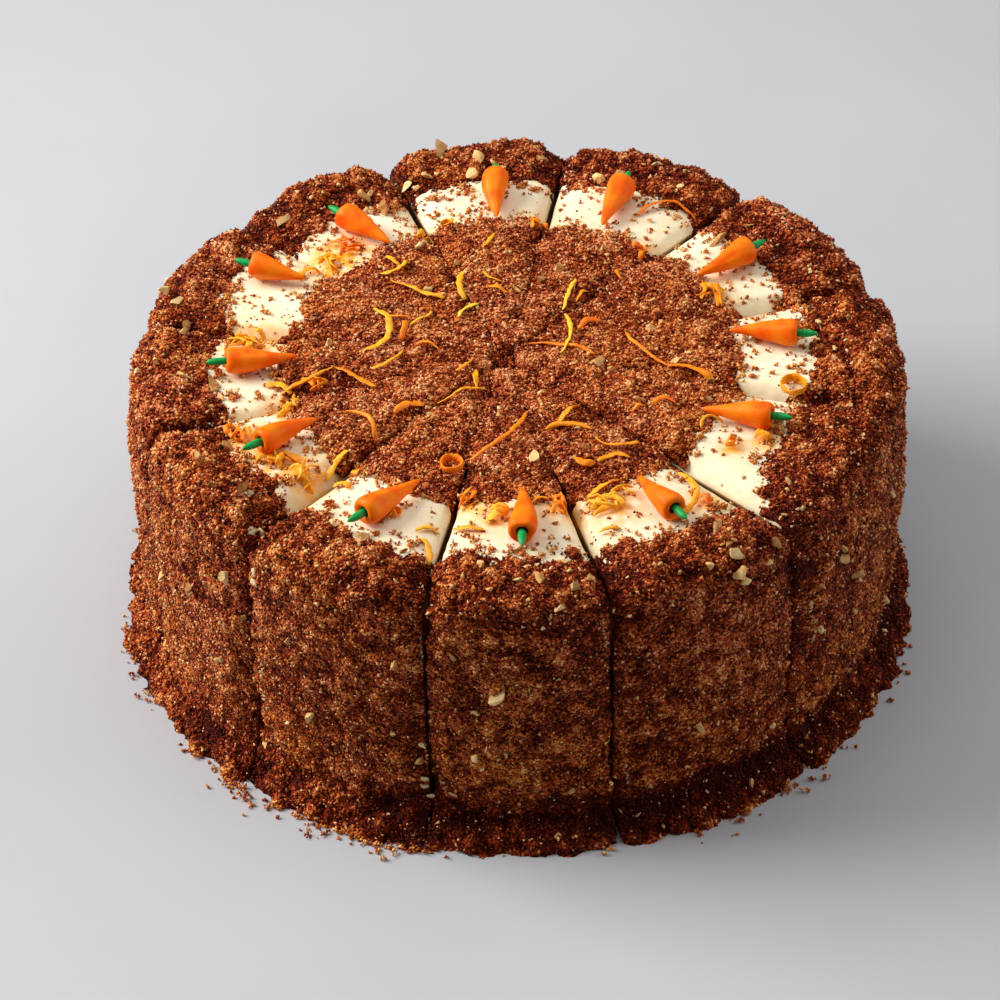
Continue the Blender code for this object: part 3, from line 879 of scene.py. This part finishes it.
def cream_layer(piece):
    """The coat of cream, with its cut faces, a little uneven everywhere."""
    share = np.linspace(0, 1, 37)
    u = 0.5 - 0.5 * np.sign(0.5 - share) * abs(2 * share - 1) ** 0.7
    radii, heights = steps(cream_outline(piece, u), (2, 2, 1, 32, 4, 2, 2, 2, 7))
    seed = 10 * piece.number + 5
    outer = piece.place(radii, u[:, None], heights)
    normal = normals_of(outer)
    uneven = 0.30 * MM * rough(outer, 11 * MM, seed) + 0.16 * MM * rough(outer, 3.5 * MM, seed)
    rim = piece.coat_rim(u) - rim_spill(piece, u)
    covered = ((radii - rim[:, None] - 3 * MM) / (4 * MM)).clip(0, 1)
    covered += ((piece.carpet_rim(u)[:, None] - 2 * MM - radii) / (4 * MM)).clip(0, 1)
    outer = outer + normal * (uneven - 0.2 * MM - HIDDEN_CREAM * covered)[..., None]
    slope, tint = dragged(piece, u[:, None], radii)
    outer[..., 2] -= slope * (1 - covered.clip(0, 1))
    lean_over_cuts(piece, outer, 2.0 * MM, 0.2 * MM, seed, 1 - covered.clip(0, 1))
    base = CREAM_LEVEL - CREAM_DEPTH + piece.lift
    inner = piece.place(np.minimum(radii, SPONGE_RADIUS + GAP), u[:, None], np.minimum(heights, base))
    near = wall(outer[0], inner[0], 4)
    far = wall(outer[-1], inner[-1], 4)[::-1]
    points = walled(outer, near, far)
    columns, rows = points.shape[:2]
    # painted shade: the cut faces darken towards their foot, and where the coat hides the cream they are dark
    # brown, as shade in the cracks
    depth = np.linspace(1, 0.4, 4)[:, None]
    near_cut, far_cut = (np.maximum(depth, 0.65 * (covered[column] > 0.5)) for column in (0, -1))
    cut = np.concatenate([near_cut, tint, far_cut[::-1]])
    faces = grid_faces(columns, rows)
    layer = add_mesh(f"slice_{piece.number:02d}_icing", points, faces, CREAM, cut=cut, stain=stains(points))
    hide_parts(f"slice_{piece.number:02d}_cream")
    ground_parts.append((points.reshape(-1, 3), faces))


# ---------------------------------------------------------------- sugar carrots

def turned(profile, sides, place, bend, seed, creases=0):
    """Points and faces of a profile turned round an axis, bent, dented and creased a little."""
    rng = np.random.default_rng(seed)
    angles = np.linspace(0, 2 * math.pi, sides, endpoint=False)
    radii = np.array([radius for radius, _ in profile])[:, None]
    heights = np.array([height for _, height in profile])[:, None]
    ring = np.stack([radii * np.cos(angles), radii * np.sin(angles), heights + 0 * angles], axis=-1)
    dent = 1 + 0.07 * rough(ring, 5 * MM, seed) + 0.02 * np.cos(3 * angles + seed)
    for _ in range(creases):
        turn, level = rng.uniform(0, 2 * math.pi), rng.uniform(0.55, 0.95) * heights.max()
        aside = 1 - np.cos(angles - turn)
        dent -= rng.uniform(0.06, 0.14) * np.exp(-aside / 0.05 - ((heights - level) / (4 * MM)) ** 2)
    ring[..., :2] *= dent[..., None]
    ring[..., 0] += bend * np.sin(heights / heights.max() * math.pi)
    points = ring.reshape(-1, 3) @ np.array(place.to_3x3()).T + np.array(place.translation)
    count = len(profile)
    index = np.arange(count * sides).reshape(count, sides)
    after = np.roll(index, -1, axis=1)
    faces = np.stack([index[:-1], after[:-1], after[1:], index[1:]], axis=-1).reshape(-1, 4)
    return points, faces


def eased(stops, count):
    """A smooth profile through (radius, height) stops, from the tip upward."""
    heights = np.array([height for _, height in stops])
    radii = np.array([radius for radius, _ in stops])
    way = np.concatenate([[0], np.cumsum(np.hypot(np.diff(heights), np.diff(radii)))])
    fine = np.linspace(0, way[-1], count)
    profile = np.stack([np.interp(fine, way, radii), np.interp(fine, way, heights)])
    return list(smoothed(profile, 6).T)


def carrot_place(number, piece):
    """The frame of a carrot, its Z axis from its tip to its stalk, its length and half its width."""
    angle, shoulder, turn, length, width = CARROTS[number]
    angle = math.radians(angle)
    length *= MM
    wide = width / 2 * MM
    lift = wide + CARROT_GAP
    inward = -direction(angle + math.radians(turn))
    level = CREAM_LEVEL + piece.lift
    back = Vector((*(direction(angle) * shoulder * MM), level + lift))
    run = math.sqrt(length ** 2 - (lift - TIP_LIFT) ** 2)
    front = back + Vector((*(inward * run), TIP_LIFT - lift))
    turned_up = (back - front).to_track_quat("Z", "Y")
    return Matrix.LocRotScale(front, turned_up, None), length, wide


def add_carrot(number, piece):
    """A sugar carrot and its stalk, as two pieces."""
    place, length, wide = carrot_place(number, piece)
    root = [(0, 0.1 * MM), (0.1 * wide, 0.3 * MM), (0.2 * wide, 0.08 * length), (0.46 * wide, 0.33 * length),
            (0.79 * wide, 0.6 * length), (0.97 * wide, 0.8 * length), (wide, length - 2.6 * MM),
            (0.97 * wide, length - 1.0 * MM), (0.86 * wide, length - 0.1 * MM), (0.66 * wide, length + 0.1 * MM),
            (0.45 * wide, length - 0.1 * MM), (0.36 * wide, length - 1.2 * MM)]
    profile = eased(root, 44)
    bend = (0.7, -0.5, 0.2)[number % 3] * MM
    points, faces = turned(profile, 32, place, bend, 300 + number, 5)
    inward = np.array([radius for radius, _ in profile]) / wide
    # painted shade: marks the hole round the stalk, to be coloured dark
    hole = (np.arange(44) > 32) * ((0.44 - inward) / 0.07).clip(0, 1)
    carrot = add_mesh(f"sugar_carrot_{number:02d}", points, faces, SUGAR, hole=np.repeat(hole, 32))
    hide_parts(f"carrot_{number:02d}")
    thick = STALK_RADIUS
    stem = [(0.8 * thick, length - 1.3 * MM), (0.95 * thick, length), (thick, length + 0.3 * STALK_LENGTH),
            (0.85 * thick, length + 0.6 * STALK_LENGTH), (0.4 * thick, length + 0.88 * STALK_LENGTH),
            (0.02 * thick, length + 0.97 * STALK_LENGTH)]
    points, faces = turned(eased(stem, 22), 16, place, 0.1 * MM, 400 + number)
    stalk = add_mesh(f"stalk_{number:02d}", points, faces, STALK)


# ---------------------------------------------------------------- loose crumbs

def grid_area(grid):
    """Half the cross products of a grid's diagonals: its quads' outward directions and areas."""
    grid = grid[..., :3]
    return np.cross(grid[:-1, 1:] - grid[1:, :-1], grid[1:, 1:] - grid[:-1, :-1]) / 2


def spread(grid, count, rng):
    """Random points spread evenly over a grid, the relief there and the directions outward."""
    cross = grid_area(grid)
    area = np.linalg.norm(cross, axis=-1)
    normal = (cross / np.maximum(area, 1e-12)[..., None]).reshape(-1, 3)
    pick = rng.choice(area.size, count, p=(area / area.sum()).ravel())
    s, t = rng.random((2, count, 1))
    corners = (grid[:-1, :-1], grid[1:, :-1], grid[:-1, 1:], grid[1:, 1:])
    a, b, c, d = (part.reshape(-1, 4)[pick] for part in corners)
    points = (1 - s) * (1 - t) * a + s * (1 - t) * b + (1 - s) * t * c + s * t * d
    return points[:, :3], points[:, 3], normal[pick]


def random_turns(count, rng):
    """Random rotation matrices."""
    quaternions = rng.normal(size=(4, count))
    w, x, y, z = quaternions / np.linalg.norm(quaternions, axis=0)
    rows = ((1 - 2 * (y * y + z * z), 2 * (x * y - w * z), 2 * (x * z + w * y)),
            (2 * (x * y + w * z), 1 - 2 * (x * x + z * z), 2 * (y * z - w * x)),
            (2 * (x * z - w * y), 2 * (y * z + w * x), 1 - 2 * (x * x + y * y)))
    return np.moveaxis(np.array(rows), -1, 0)


GRAIN = 0.75 * np.array(((1, 1, 1), (1, -1, -1), (-1, 1, -1), (-1, -1, 1)))
GRAIN_FACES = np.array(((0, 1, 2), (0, 3, 1), (0, 2, 3), (1, 3, 2)))


def add_grains(name, spots, sizes, tones, warm, rng):
    """Loose crumbs in one piece: an uneven four-sided grain at each spot."""
    count = len(spots)
    corners = GRAIN * rng.uniform(0.75, 1.25, (count, 4, 1))
    corners = corners + rng.uniform(-0.15, 0.15, (count, 4, 3))
    scale = (sizes[:, None] / 2 * rng.uniform(0.8, 1.2, (count, 3)))[:, None, :]
    points = np.einsum("nij,nkj->nki", random_turns(count, rng), corners * scale) + spots[:, None, :]
    faces = GRAIN_FACES + 4 * np.arange(count)[:, None, None]
    piece = add_mesh(name, inside_box(points), faces.reshape(-1, 3), GRAINS,
                     tone=np.repeat(tones, 4), warm=np.repeat(warm, 4))


def scatter_grains(name, grids, density, size, tone, rng):
    """Grains all over some grids, so many to a square mm."""
    spots, sizes, depths = [], [], []
    for grid in grids:
        area = np.linalg.norm(grid_area(grid), axis=-1).sum() / MM ** 2
        points, relief, normal = spread(grid, int(density * area), rng)
        across = size * np.exp(rng.normal(0, 0.32, len(points))).clip(0.5, 2.2)
        spots.append(points + normal * (across * rng.uniform(-0.05, 0.35, len(points)))[:, None])
        sizes.append(across)
        depths.append(relief)
    spots = np.concatenate(spots)
    # painted shade and light: grains lower in the relief are darker, with the painted crease band and the
    # lighter top and left; a few grains are painted palest, partly paler crumbs and partly painted glints
    pale = rng.random(len(spots)) < 0.04
    tones = tone + np.concatenate(depths) / (4.5 * MM) + rng.normal(0, 0.26, len(spots)) + patches_and_painted_light(spots)
    tones = np.where(pale, 0.95, tones.clip(0.08, 0.88))
    add_grains(name, spots, np.concatenate(sizes), tones, warmth(spots), rng)


def crumb(spot, size, rng):
    """The grains that make up one crumb: their places and sizes."""
    if size < 0.9 * MM:
        return spot[None, :], np.array([size])
    count = int(2.0 * (size / MM) ** 2) + 1
    places = spot + rng.normal(0, 0.26 * size, (count, 3)) * (1, 1, 0.6)
    return places, 0.85 * MM * np.exp(rng.normal(0, 0.25, count))


def add_crumbs(name, spots, sizes, tones, warm, rng):
    """Crumbs of several grains in one piece, a tone for each crumb."""
    parts = [crumb(spot, size, rng) for spot, size in zip(spots, sizes)]
    counts = [len(part[1]) for part in parts]
    grains = np.concatenate([part[0] for part in parts])
    tones = np.repeat(tones, counts) + rng.normal(0, 0.12, len(grains))
    add_grains(name, grains, np.concatenate([part[1] for part in parts]), tones.clip(0, 1),
               np.repeat(warm, counts), rng)


def strew_on_cream(rng):
    """Crumbs and dark specks strewn on the bare cream, thicker next to the crumbs' edges."""
    spots, sizes, tones = [], [], []
    for piece in pieces:
        count = 170
        u = rng.uniform(0.02, 0.98, count)
        rim, carpet = piece.coat_rim(u) - rim_spill(piece, u), piece.carpet_rim(u)
        near = rng.exponential(3.2 * MM, count)
        side = rng.random(count)
        radius = np.where(side < 0.45, rim - near, np.where(side < 0.8, carpet + near,
                                                           carpet + (rim - carpet) * rng.random(count)))
        size = np.where(rng.random(count) < 0.35, rng.uniform(0.4, 0.8, count),
                        1.35 * np.exp(rng.normal(0, 0.4, count)).clip(0.7, 2.2)) * MM
        for (x, y, _), across in zip(piece.place(radius, u, 0), size):
            spots.append((x, y, rest_height(x, y) + 0.25 * across))
        sizes.append(size)
        tones.append(np.where(size < 0.8 * MM, 0.25, rng.uniform(0.5, 0.9, count)))
    spots = np.array(spots)
    add_crumbs("crumbs_on_cream", spots, np.concatenate(sizes), np.concatenate(tones),
               np.full(len(spots), 0.8), rng)


def fill_middle(rng):
    """Crumbs that have fallen into the hole where the cuts meet."""
    count = 130
    plan = CUT_CENTRE + rng.normal(0, 2.2 * MM, (count, 2))
    heights = CREAM_LEVEL - rng.uniform(0, 3.5 * MM, count)
    spots = np.concatenate([plan, heights[:, None]], axis=1)
    add_crumbs("crumbs_in_middle", spots, rng.uniform(1.2, 2.2, count) * MM,
               rng.uniform(0.2, 0.5, count), rng.uniform(0, 0.6, count), rng)


def strew_round_foot(rng):
    """Fallen crumbs on the floor in loose heaps close to the foot, fewer on the right."""
    heaps = rng.uniform(0, 2 * math.pi, 90)
    angle = np.repeat(heaps, 6) + rng.normal(0, 0.03, 540)
    radius = SKIRT_RADIUS - 2 * MM + rng.exponential(1.8 * MM, 540)
    size = (1.3 * np.exp(rng.normal(0, 0.35, 540))).clip(0.7, 3) * MM
    plan = direction(angle) * radius[:, None]
    spots = np.concatenate([plan, 0.42 * size[:, None]], axis=1)
    low = np.array(cad_low) - shift + 1.5 * MM
    high = np.array(cad_high) - shift - 1.5 * MM
    kept = ((spots[:, :2] > low[:2]) & (spots[:, :2] < high[:2])).all(axis=1)
    kept &= np.sin(angle) < rng.uniform(-0.2, 1.2, 540)
    add_crumbs("fallen_crumbs", spots[kept], size[kept], rng.uniform(0.4, 0.8, kept.sum()),
               rng.uniform(0.4, 1, kept.sum()), rng)


# ---------------------------------------------------------------- nuts and zest

def chunk(size, rng, detail):
    """Points and faces of a chopped piece of nut: a ball with flat faces cut off it."""
    ball = bmesh.new()
    bmesh.ops.create_icosphere(ball, subdivisions=detail, radius=1)
    points = np.array([vertex.co[:] for vertex in ball.verts])
    faces = np.array([[vertex.index for vertex in face.verts] for face in ball.faces])
    ball.free()
    for _ in range(9):
        out = rng.normal(size=3)
        out /= np.linalg.norm(out)
        over = np.maximum(points @ out - rng.uniform(0.2, 0.75), 0)
        points = points - over[:, None] * out
    points *= size / 2 * np.array((1.25, rng.uniform(0.8, 1.1), rng.uniform(0.6, 0.9)))
    points += 0.07 * size * np.stack([rough(points, 0.35 * size, axis) for axis in range(3)], axis=-1)
    return points @ random_turns(1, rng)[0].T, faces


def join(parts):
    """Points and faces of several meshes as one."""
    firsts = np.cumsum([0] + [len(points) for points, _ in parts[:-1]])
    return (np.concatenate([points for points, _ in parts]),
            np.concatenate([faces + first for (_, faces), first in zip(parts, firsts)]))


def add_nuts(name, spots, rng, detail):
    """Pieces of walnut in one mesh: each at a spot, pushed a little into what it lies on."""
    parts, tones = [], []
    for spot, out, size in spots:
        points, faces = chunk(size, rng, detail)
        parts.append((points + spot + out * size * 0.12, faces))
        tones.append(np.full(len(points), rng.uniform(-0.2, 0.35)))
    points, faces = join(parts)
    nuts = add_mesh(name, inside_box(points), faces, WALNUT, smooth=False, tone=np.concatenate(tones))


def side_spot(angle, height):
    """Where a level ray towards the axis meets the side, and the direction out."""
    out = np.array((*direction(angle), 0))
    hit = ground.ray_cast(Vector(out * 0.2 + np.array((0, 0, height))), Vector(-out))[0]
    return np.array(hit), out


def scatter_nuts(rng):
    """Large pieces of walnut where listed, and many small ones at random."""
    up = np.array((0, 0, 1))
    large = [(np.array((x * MM, y * MM, rest_height(x * MM, y * MM))), up, size * MM)
             for x, y, size in WALNUTS]
    large += [(*side_spot(math.radians(angle), height * MM), size * MM)
              for angle, height, size in SIDE_WALNUTS]
    add_nuts("walnut_pieces", large, rng, 3)
    small = []
    for _ in range(150):
        height = rng.uniform(12, 92) * MM
        size = 2.0 * math.exp(rng.normal(0, 0.35)) * MM
        small.append((*side_spot(rng.uniform(0, 2 * math.pi), height), size))
    add_nuts("walnut_bits_on_side", small, rng, 2)
    small = []
    for low, high, count, size in ((96, 124, 110, 2.2), (8, 72, 90, 1.9), (127, 136, 60, 1.8)):
        for _ in range(count):
            x, y = direction(rng.uniform(0, 2 * math.pi)) * math.sqrt(rng.uniform(low ** 2, high ** 2)) * MM
            across = size * math.exp(rng.normal(0, 0.35)) * MM
            small.append((np.array((x, y, rest_height(x, y))), up, across))
    add_nuts("walnut_bits", small, rng, 2)


def ribbon(line, out, width, thick, roll, twist, blunt=0.45):
    """Points and faces of a flat strand along a line, its flat side turned from a direction out."""
    sides = 8
    way = np.gradient(line, axis=0)
    way /= np.linalg.norm(way, axis=-1, keepdims=True)
    across = np.cross(way, out)
    across /= np.linalg.norm(across, axis=-1, keepdims=True)
    up = np.cross(across, way)
    share = np.linspace(-1, 1, len(line))
    taper = (blunt + (1 - blunt) * (1 - abs(share) ** 5))[:, None, None]
    turned_by = (roll + twist * share)[:, None]
    turn = np.linspace(0, 2 * math.pi, sides, endpoint=False)
    flat, tall = width / 2 * np.cos(turn), thick / 2 * np.sin(turn)
    side = (flat * np.cos(turned_by) - tall * np.sin(turned_by))[..., None]
    rise = (flat * np.sin(turned_by) + tall * np.cos(turned_by))[..., None]
    points = line[:, None] + taper * (side * across[:, None] + rise * up[:, None])
    points += 0.2 * width * np.stack([rough(points, 1.3 * MM, axis) for axis in range(3)], axis=-1)
    index = np.arange(len(line) * sides).reshape(len(line), sides)
    after = np.roll(index, -1, axis=1)
    faces = np.stack([index[:-1], after[:-1], after[1:], index[1:]], axis=-1).reshape(-1, 4)
    caps = []
    for ring in (index[0], index[-1][::-1]):
        caps += [(ring[3], ring[2], ring[1], ring[0]), (ring[4], ring[3], ring[0], ring[7]),
                 (ring[5], ring[4], ring[7], ring[6])]
    return points.reshape(-1, 3), np.concatenate([faces, caps])


def strand_line(x, y, length, heading, bend, rng):
    """A bent line that lies on whatever is below it, arched up a little."""
    count = max(10, int(length / 0.9))
    way = np.linspace(-0.5, 0.5, count)
    angle = np.radians(heading + bend * way)
    run = np.stack([np.cos(angle), np.sin(angle)], axis=-1) * length * MM / count
    plan = np.cumsum(run, axis=0)
    plan += np.array((x, y)) * MM - plan[count // 2]
    ground_line = np.array([rest_height(*spot) for spot in plan])
    for _ in range(6):
        padded = np.pad(ground_line, 1, mode="edge")
        eased_line = (padded[:-2] + 2 * padded[1:-1] + padded[2:]) / 4
        ground_line = np.maximum(ground_line, eased_line) * 0.5 + eased_line * 0.5
    arch = rng.uniform(0.3, 2.0) * MM * np.cos(math.pi * way)
    return np.concatenate([plan, (ground_line + 0.9 * MM + arch)[:, None]], axis=1)


def curl_line(x, y, width, turns):
    """A flat coil that rises a little."""
    angle = np.linspace(0, 2 * math.pi * turns, int(22 * turns))
    plan = direction(angle) * (width / 2 - ZEST_THICK / (2 * MM)) * MM + np.array((x, y)) * MM
    level = max(rest_height(*spot) for spot in plan) + 1.0 * MM
    rise = angle / (2 * math.pi) * 0.8 * MM
    return np.concatenate([plan, (level + rise)[:, None]], axis=1)


def clump_lines(x, y, width, count, rng):
    """Short bent strands that lie across each other."""
    lines = []
    for _ in range(count):
        off = rng.normal(0, 0.22 * width, 2)
        length = width * rng.uniform(0.6, 1.2)
        line = strand_line(x + off[0], y + off[1], length, rng.uniform(0, 360), rng.uniform(-200, 200), rng)
        lines.append(line + np.array((0, 0, rng.uniform(0, 0.9) * MM)))
    return lines


def add_zest(rng):
    """All the strands, curls and tangles of orange zest."""
    up = (0, 0, 1)
    parts, tones = [], []
    for strand in ZEST_STRANDS:
        line = strand_line(*strand[:5], rng)
        width = ZEST_WIDTH * rng.uniform(0.55, 1.3)
        parts.append(ribbon(line, up, width, ZEST_THICK, rng.uniform(-0.5, 0.5), rng.uniform(-1, 1)))
        tones.append(strand[5])
    for curl in ZEST_CURLS:
        parts.append(ribbon(curl_line(*curl[:4]), up, 1.3 * ZEST_WIDTH, ZEST_THICK, 1.4, 0.2))
        tones.append(curl[4])
    for clump in ZEST_CLUMPS:
        for line in clump_lines(*clump[:4], rng):
            width = ZEST_WIDTH * rng.uniform(0.7, 1.1)
            parts.append(ribbon(line, up, width, ZEST_THICK, rng.uniform(-1.5, 1.5), rng.uniform(-1, 1)))
            tones.append(clump[4])
    tones = [np.full(len(part[0]), tone + rng.uniform(-0.1, 0.1)) for part, tone in zip(parts, tones)]
    points, faces = join(parts)
    zest = add_mesh("orange_zest", inside_box(points), faces, ZEST, tone=np.concatenate(tones))


def dab(place, out, width, rng):
    """Points and faces of a flattened dab of cream."""
    points, faces = chunk(width, rng, 2)
    rise = (points @ out)[:, None] * out
    return place + points - 0.6 * rise, faces


def add_smears(rng):
    """Cream that the knife smeared beside the cuts, in dabs with crumbs between them."""
    spots = []
    for start, top, end, bottom, width, tone in SIDE_SMEARS:
        for share in np.linspace(0, 1, max(3, int((top - bottom) / (0.7 * width)))):
            angle = math.radians(start + (end - start) * share) + rng.normal(0, 0.15 * width / 127)
            spots.append((*side_spot(angle, (top + (bottom - top) * share) * MM), width, tone))
    for x, y, far_x, far_y, width, tone in TOP_SMEARS:
        for share in np.linspace(0, 1, max(3, int(math.hypot(far_x - x, far_y - y) / (0.5 * width)))):
            spot = np.array((x + (far_x - x) * share, y + (far_y - y) * share)) + rng.normal(0, 0.2 * width, 2)
            spots.append((np.array((*spot * MM, rest_height(*spot * MM))), np.array((0, 0, 1)), width, tone))
    parts = [dab(place, out, width * rng.uniform(0.7, 1.3) * MM, rng) for place, out, width, _ in spots]
    cut = np.concatenate([np.full(len(part[0]), spot[3]) for part, spot in zip(parts, spots)])
    points, faces = join(parts)
    smears = add_mesh("cream_smears", inside_box(points), faces, CREAM, cut=cut)


# ---------------------------------------------------------------- the whole cake

def dress_sponge():
    """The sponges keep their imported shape."""
    sponge = sponge_material()
    for number in range(SLICES):
        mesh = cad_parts[f"slice_{number:02d}_sponge"].data
        mesh.materials.clear()
        mesh.materials.append(sponge)


def build_slices():
    """Every slice's layers, and the loose grains on them."""
    rng = np.random.default_rng(5)
    rims, sides, feet, carpets = [], [], [], []
    across_coat, across_carpet = np.linspace(0, 1, 56), np.linspace(0, 1, 34)
    for piece in pieces:
        prefix = f"slice_{piece.number:02d}_"
        cream_layer(piece)
        coat = crumb_layer(prefix + "crumbs", prefix + "crumb_coat", piece, across_coat,
                           coat_outline(piece, across_coat), coat_crack, 1.15, 1.2 * MM)
        carpet = crumb_layer(prefix + "top_crumbs", prefix + "crumb_carpet", piece, across_carpet,
                             carpet_outline(piece, across_carpet), carpet_crack, 0.75, 0)
        height = coat[len(coat) // 2, :, 2]
        turn = int(np.argmax(height < CREAM_LEVEL - 4 * MM))
        crease = int(np.argmax(height < CREASE_HEIGHT + 1 * MM))
        rims.append(coat[:, 2:turn + 1])
        sides.append(coat[:, turn:crease + 1])
        feet.append(coat[:, crease:])
        carpets.append(carpet[:, 1:-3])
    front = [sides[number] for number in (9, 10, 11, 0, 1, 2)]
    scatter_grains("crumbs_on_rim", rims, 1.25, 0.82 * MM, 0.46, rng)
    scatter_grains("crumbs_on_middle", carpets, 1.4, 0.78 * MM, 0.53, rng)
    scatter_grains("crumbs_on_front_side", front, 0.95, 0.72 * MM, 0.50, rng)
    scatter_grains("crumbs_on_back_side", sides[3:9], 0.86, 0.74 * MM, 0.50, rng)
    scatter_grains("crumbs_on_foot", feet, 1.12, 0.85 * MM, 0.39, rng)


def find_ground():
    """A tree of all the surfaces that loose things can lie on."""
    points, faces = join(ground_parts)
    return BVHTree.FromPolygons(points.tolist(), faces.tolist())


def rest_height(x, y):
    """Height of whatever lies at a place on top of the cake."""
    hit = ground.ray_cast(Vector((x, y, 0.2)), Vector((0, 0, -1)))[0]
    return hit.z if hit else 0.0


# ---------------------------------------------------------------- stage, lights and camera

def add_floor():
    """A plain pale floor."""
    bpy.ops.mesh.primitive_plane_add(size=8)
    floor = bpy.context.object
    floor.name = "floor"
    floor.data.materials.append(floor_material())


def add_light(name, place, target, size, power, colour):
    """A square soft light at a place, aimed at a target."""
    data = bpy.data.lights.new(name, "AREA")
    data.size = size
    data.energy = power
    data.color = colour
    light = bpy.data.objects.new(name, data)
    light.location = place
    light.rotation_euler = (Vector(target) - Vector(place)).to_track_quat("-Z", "Y").to_euler()
    bpy.context.scene.collection.objects.link(light)


def add_lights():
    """A large window on the left, a little behind the cake, and a dim room."""
    world = bpy.data.worlds.new("room")
    world.use_nodes = True
    background = world.node_tree.nodes["Background"]
    background.inputs["Color"].default_value = (1.0, 0.98, 0.95, 1)
    background.inputs["Strength"].default_value = 0.15
    bpy.context.scene.world = world
    add_light("window", (-1.5, 0.35, 1.15), (0, 0, 0.05), 1.1, 54, (1.0, 0.97, 0.92))
    add_light("overhead", (0.1, 0.3, 1.7), (0, 0, 0.05), 1.5, 11, (1.0, 0.98, 0.95))
    add_light("room_right", (1.6, 0.0, 0.8), (0, 0, 0.05), 1.2, 9, (1.0, 0.98, 0.95))


CAMERA_LENS = 118.8                 # mm, on a sensor 36 mm wide
CAMERA_RISE = math.radians(39.17)   # above the horizon
CAMERA_ROLL = math.radians(-1.43)
CAMERA_DISTANCE = 1109.6 * MM
CAMERA_AIM = Vector((-6.3 * MM, 0, 34.2 * MM))


def add_camera():
    """The view from in front and above."""
    data = bpy.data.cameras.new("camera")
    data.lens = CAMERA_LENS
    data.sensor_width = 36
    camera = bpy.data.objects.new("camera", data)
    forward = Vector((0, math.cos(CAMERA_RISE), -math.sin(CAMERA_RISE)))
    camera.location = CAMERA_AIM + Vector(shift) - forward * CAMERA_DISTANCE
    aim = forward.to_track_quat("-Z", "Y") @ Quaternion((0, 0, 1), CAMERA_ROLL)
    camera.rotation_mode = "QUATERNION"
    camera.rotation_quaternion = aim
    bpy.context.scene.collection.objects.link(camera)
    bpy.context.scene.camera = camera


ground_parts = []
dress_sponge()
for number, piece in enumerate(pieces):
    add_carrot(number, piece)
build_slices()
ground = find_ground()
strew_on_cream(np.random.default_rng(11))
strew_round_foot(np.random.default_rng(12))
fill_middle(np.random.default_rng(16))
scatter_nuts(np.random.default_rng(13))
add_zest(np.random.default_rng(14))
add_smears(np.random.default_rng(15))
add_floor()
add_lights()
add_camera()
bpy.context.scene.view_settings.view_transform = "Standard"
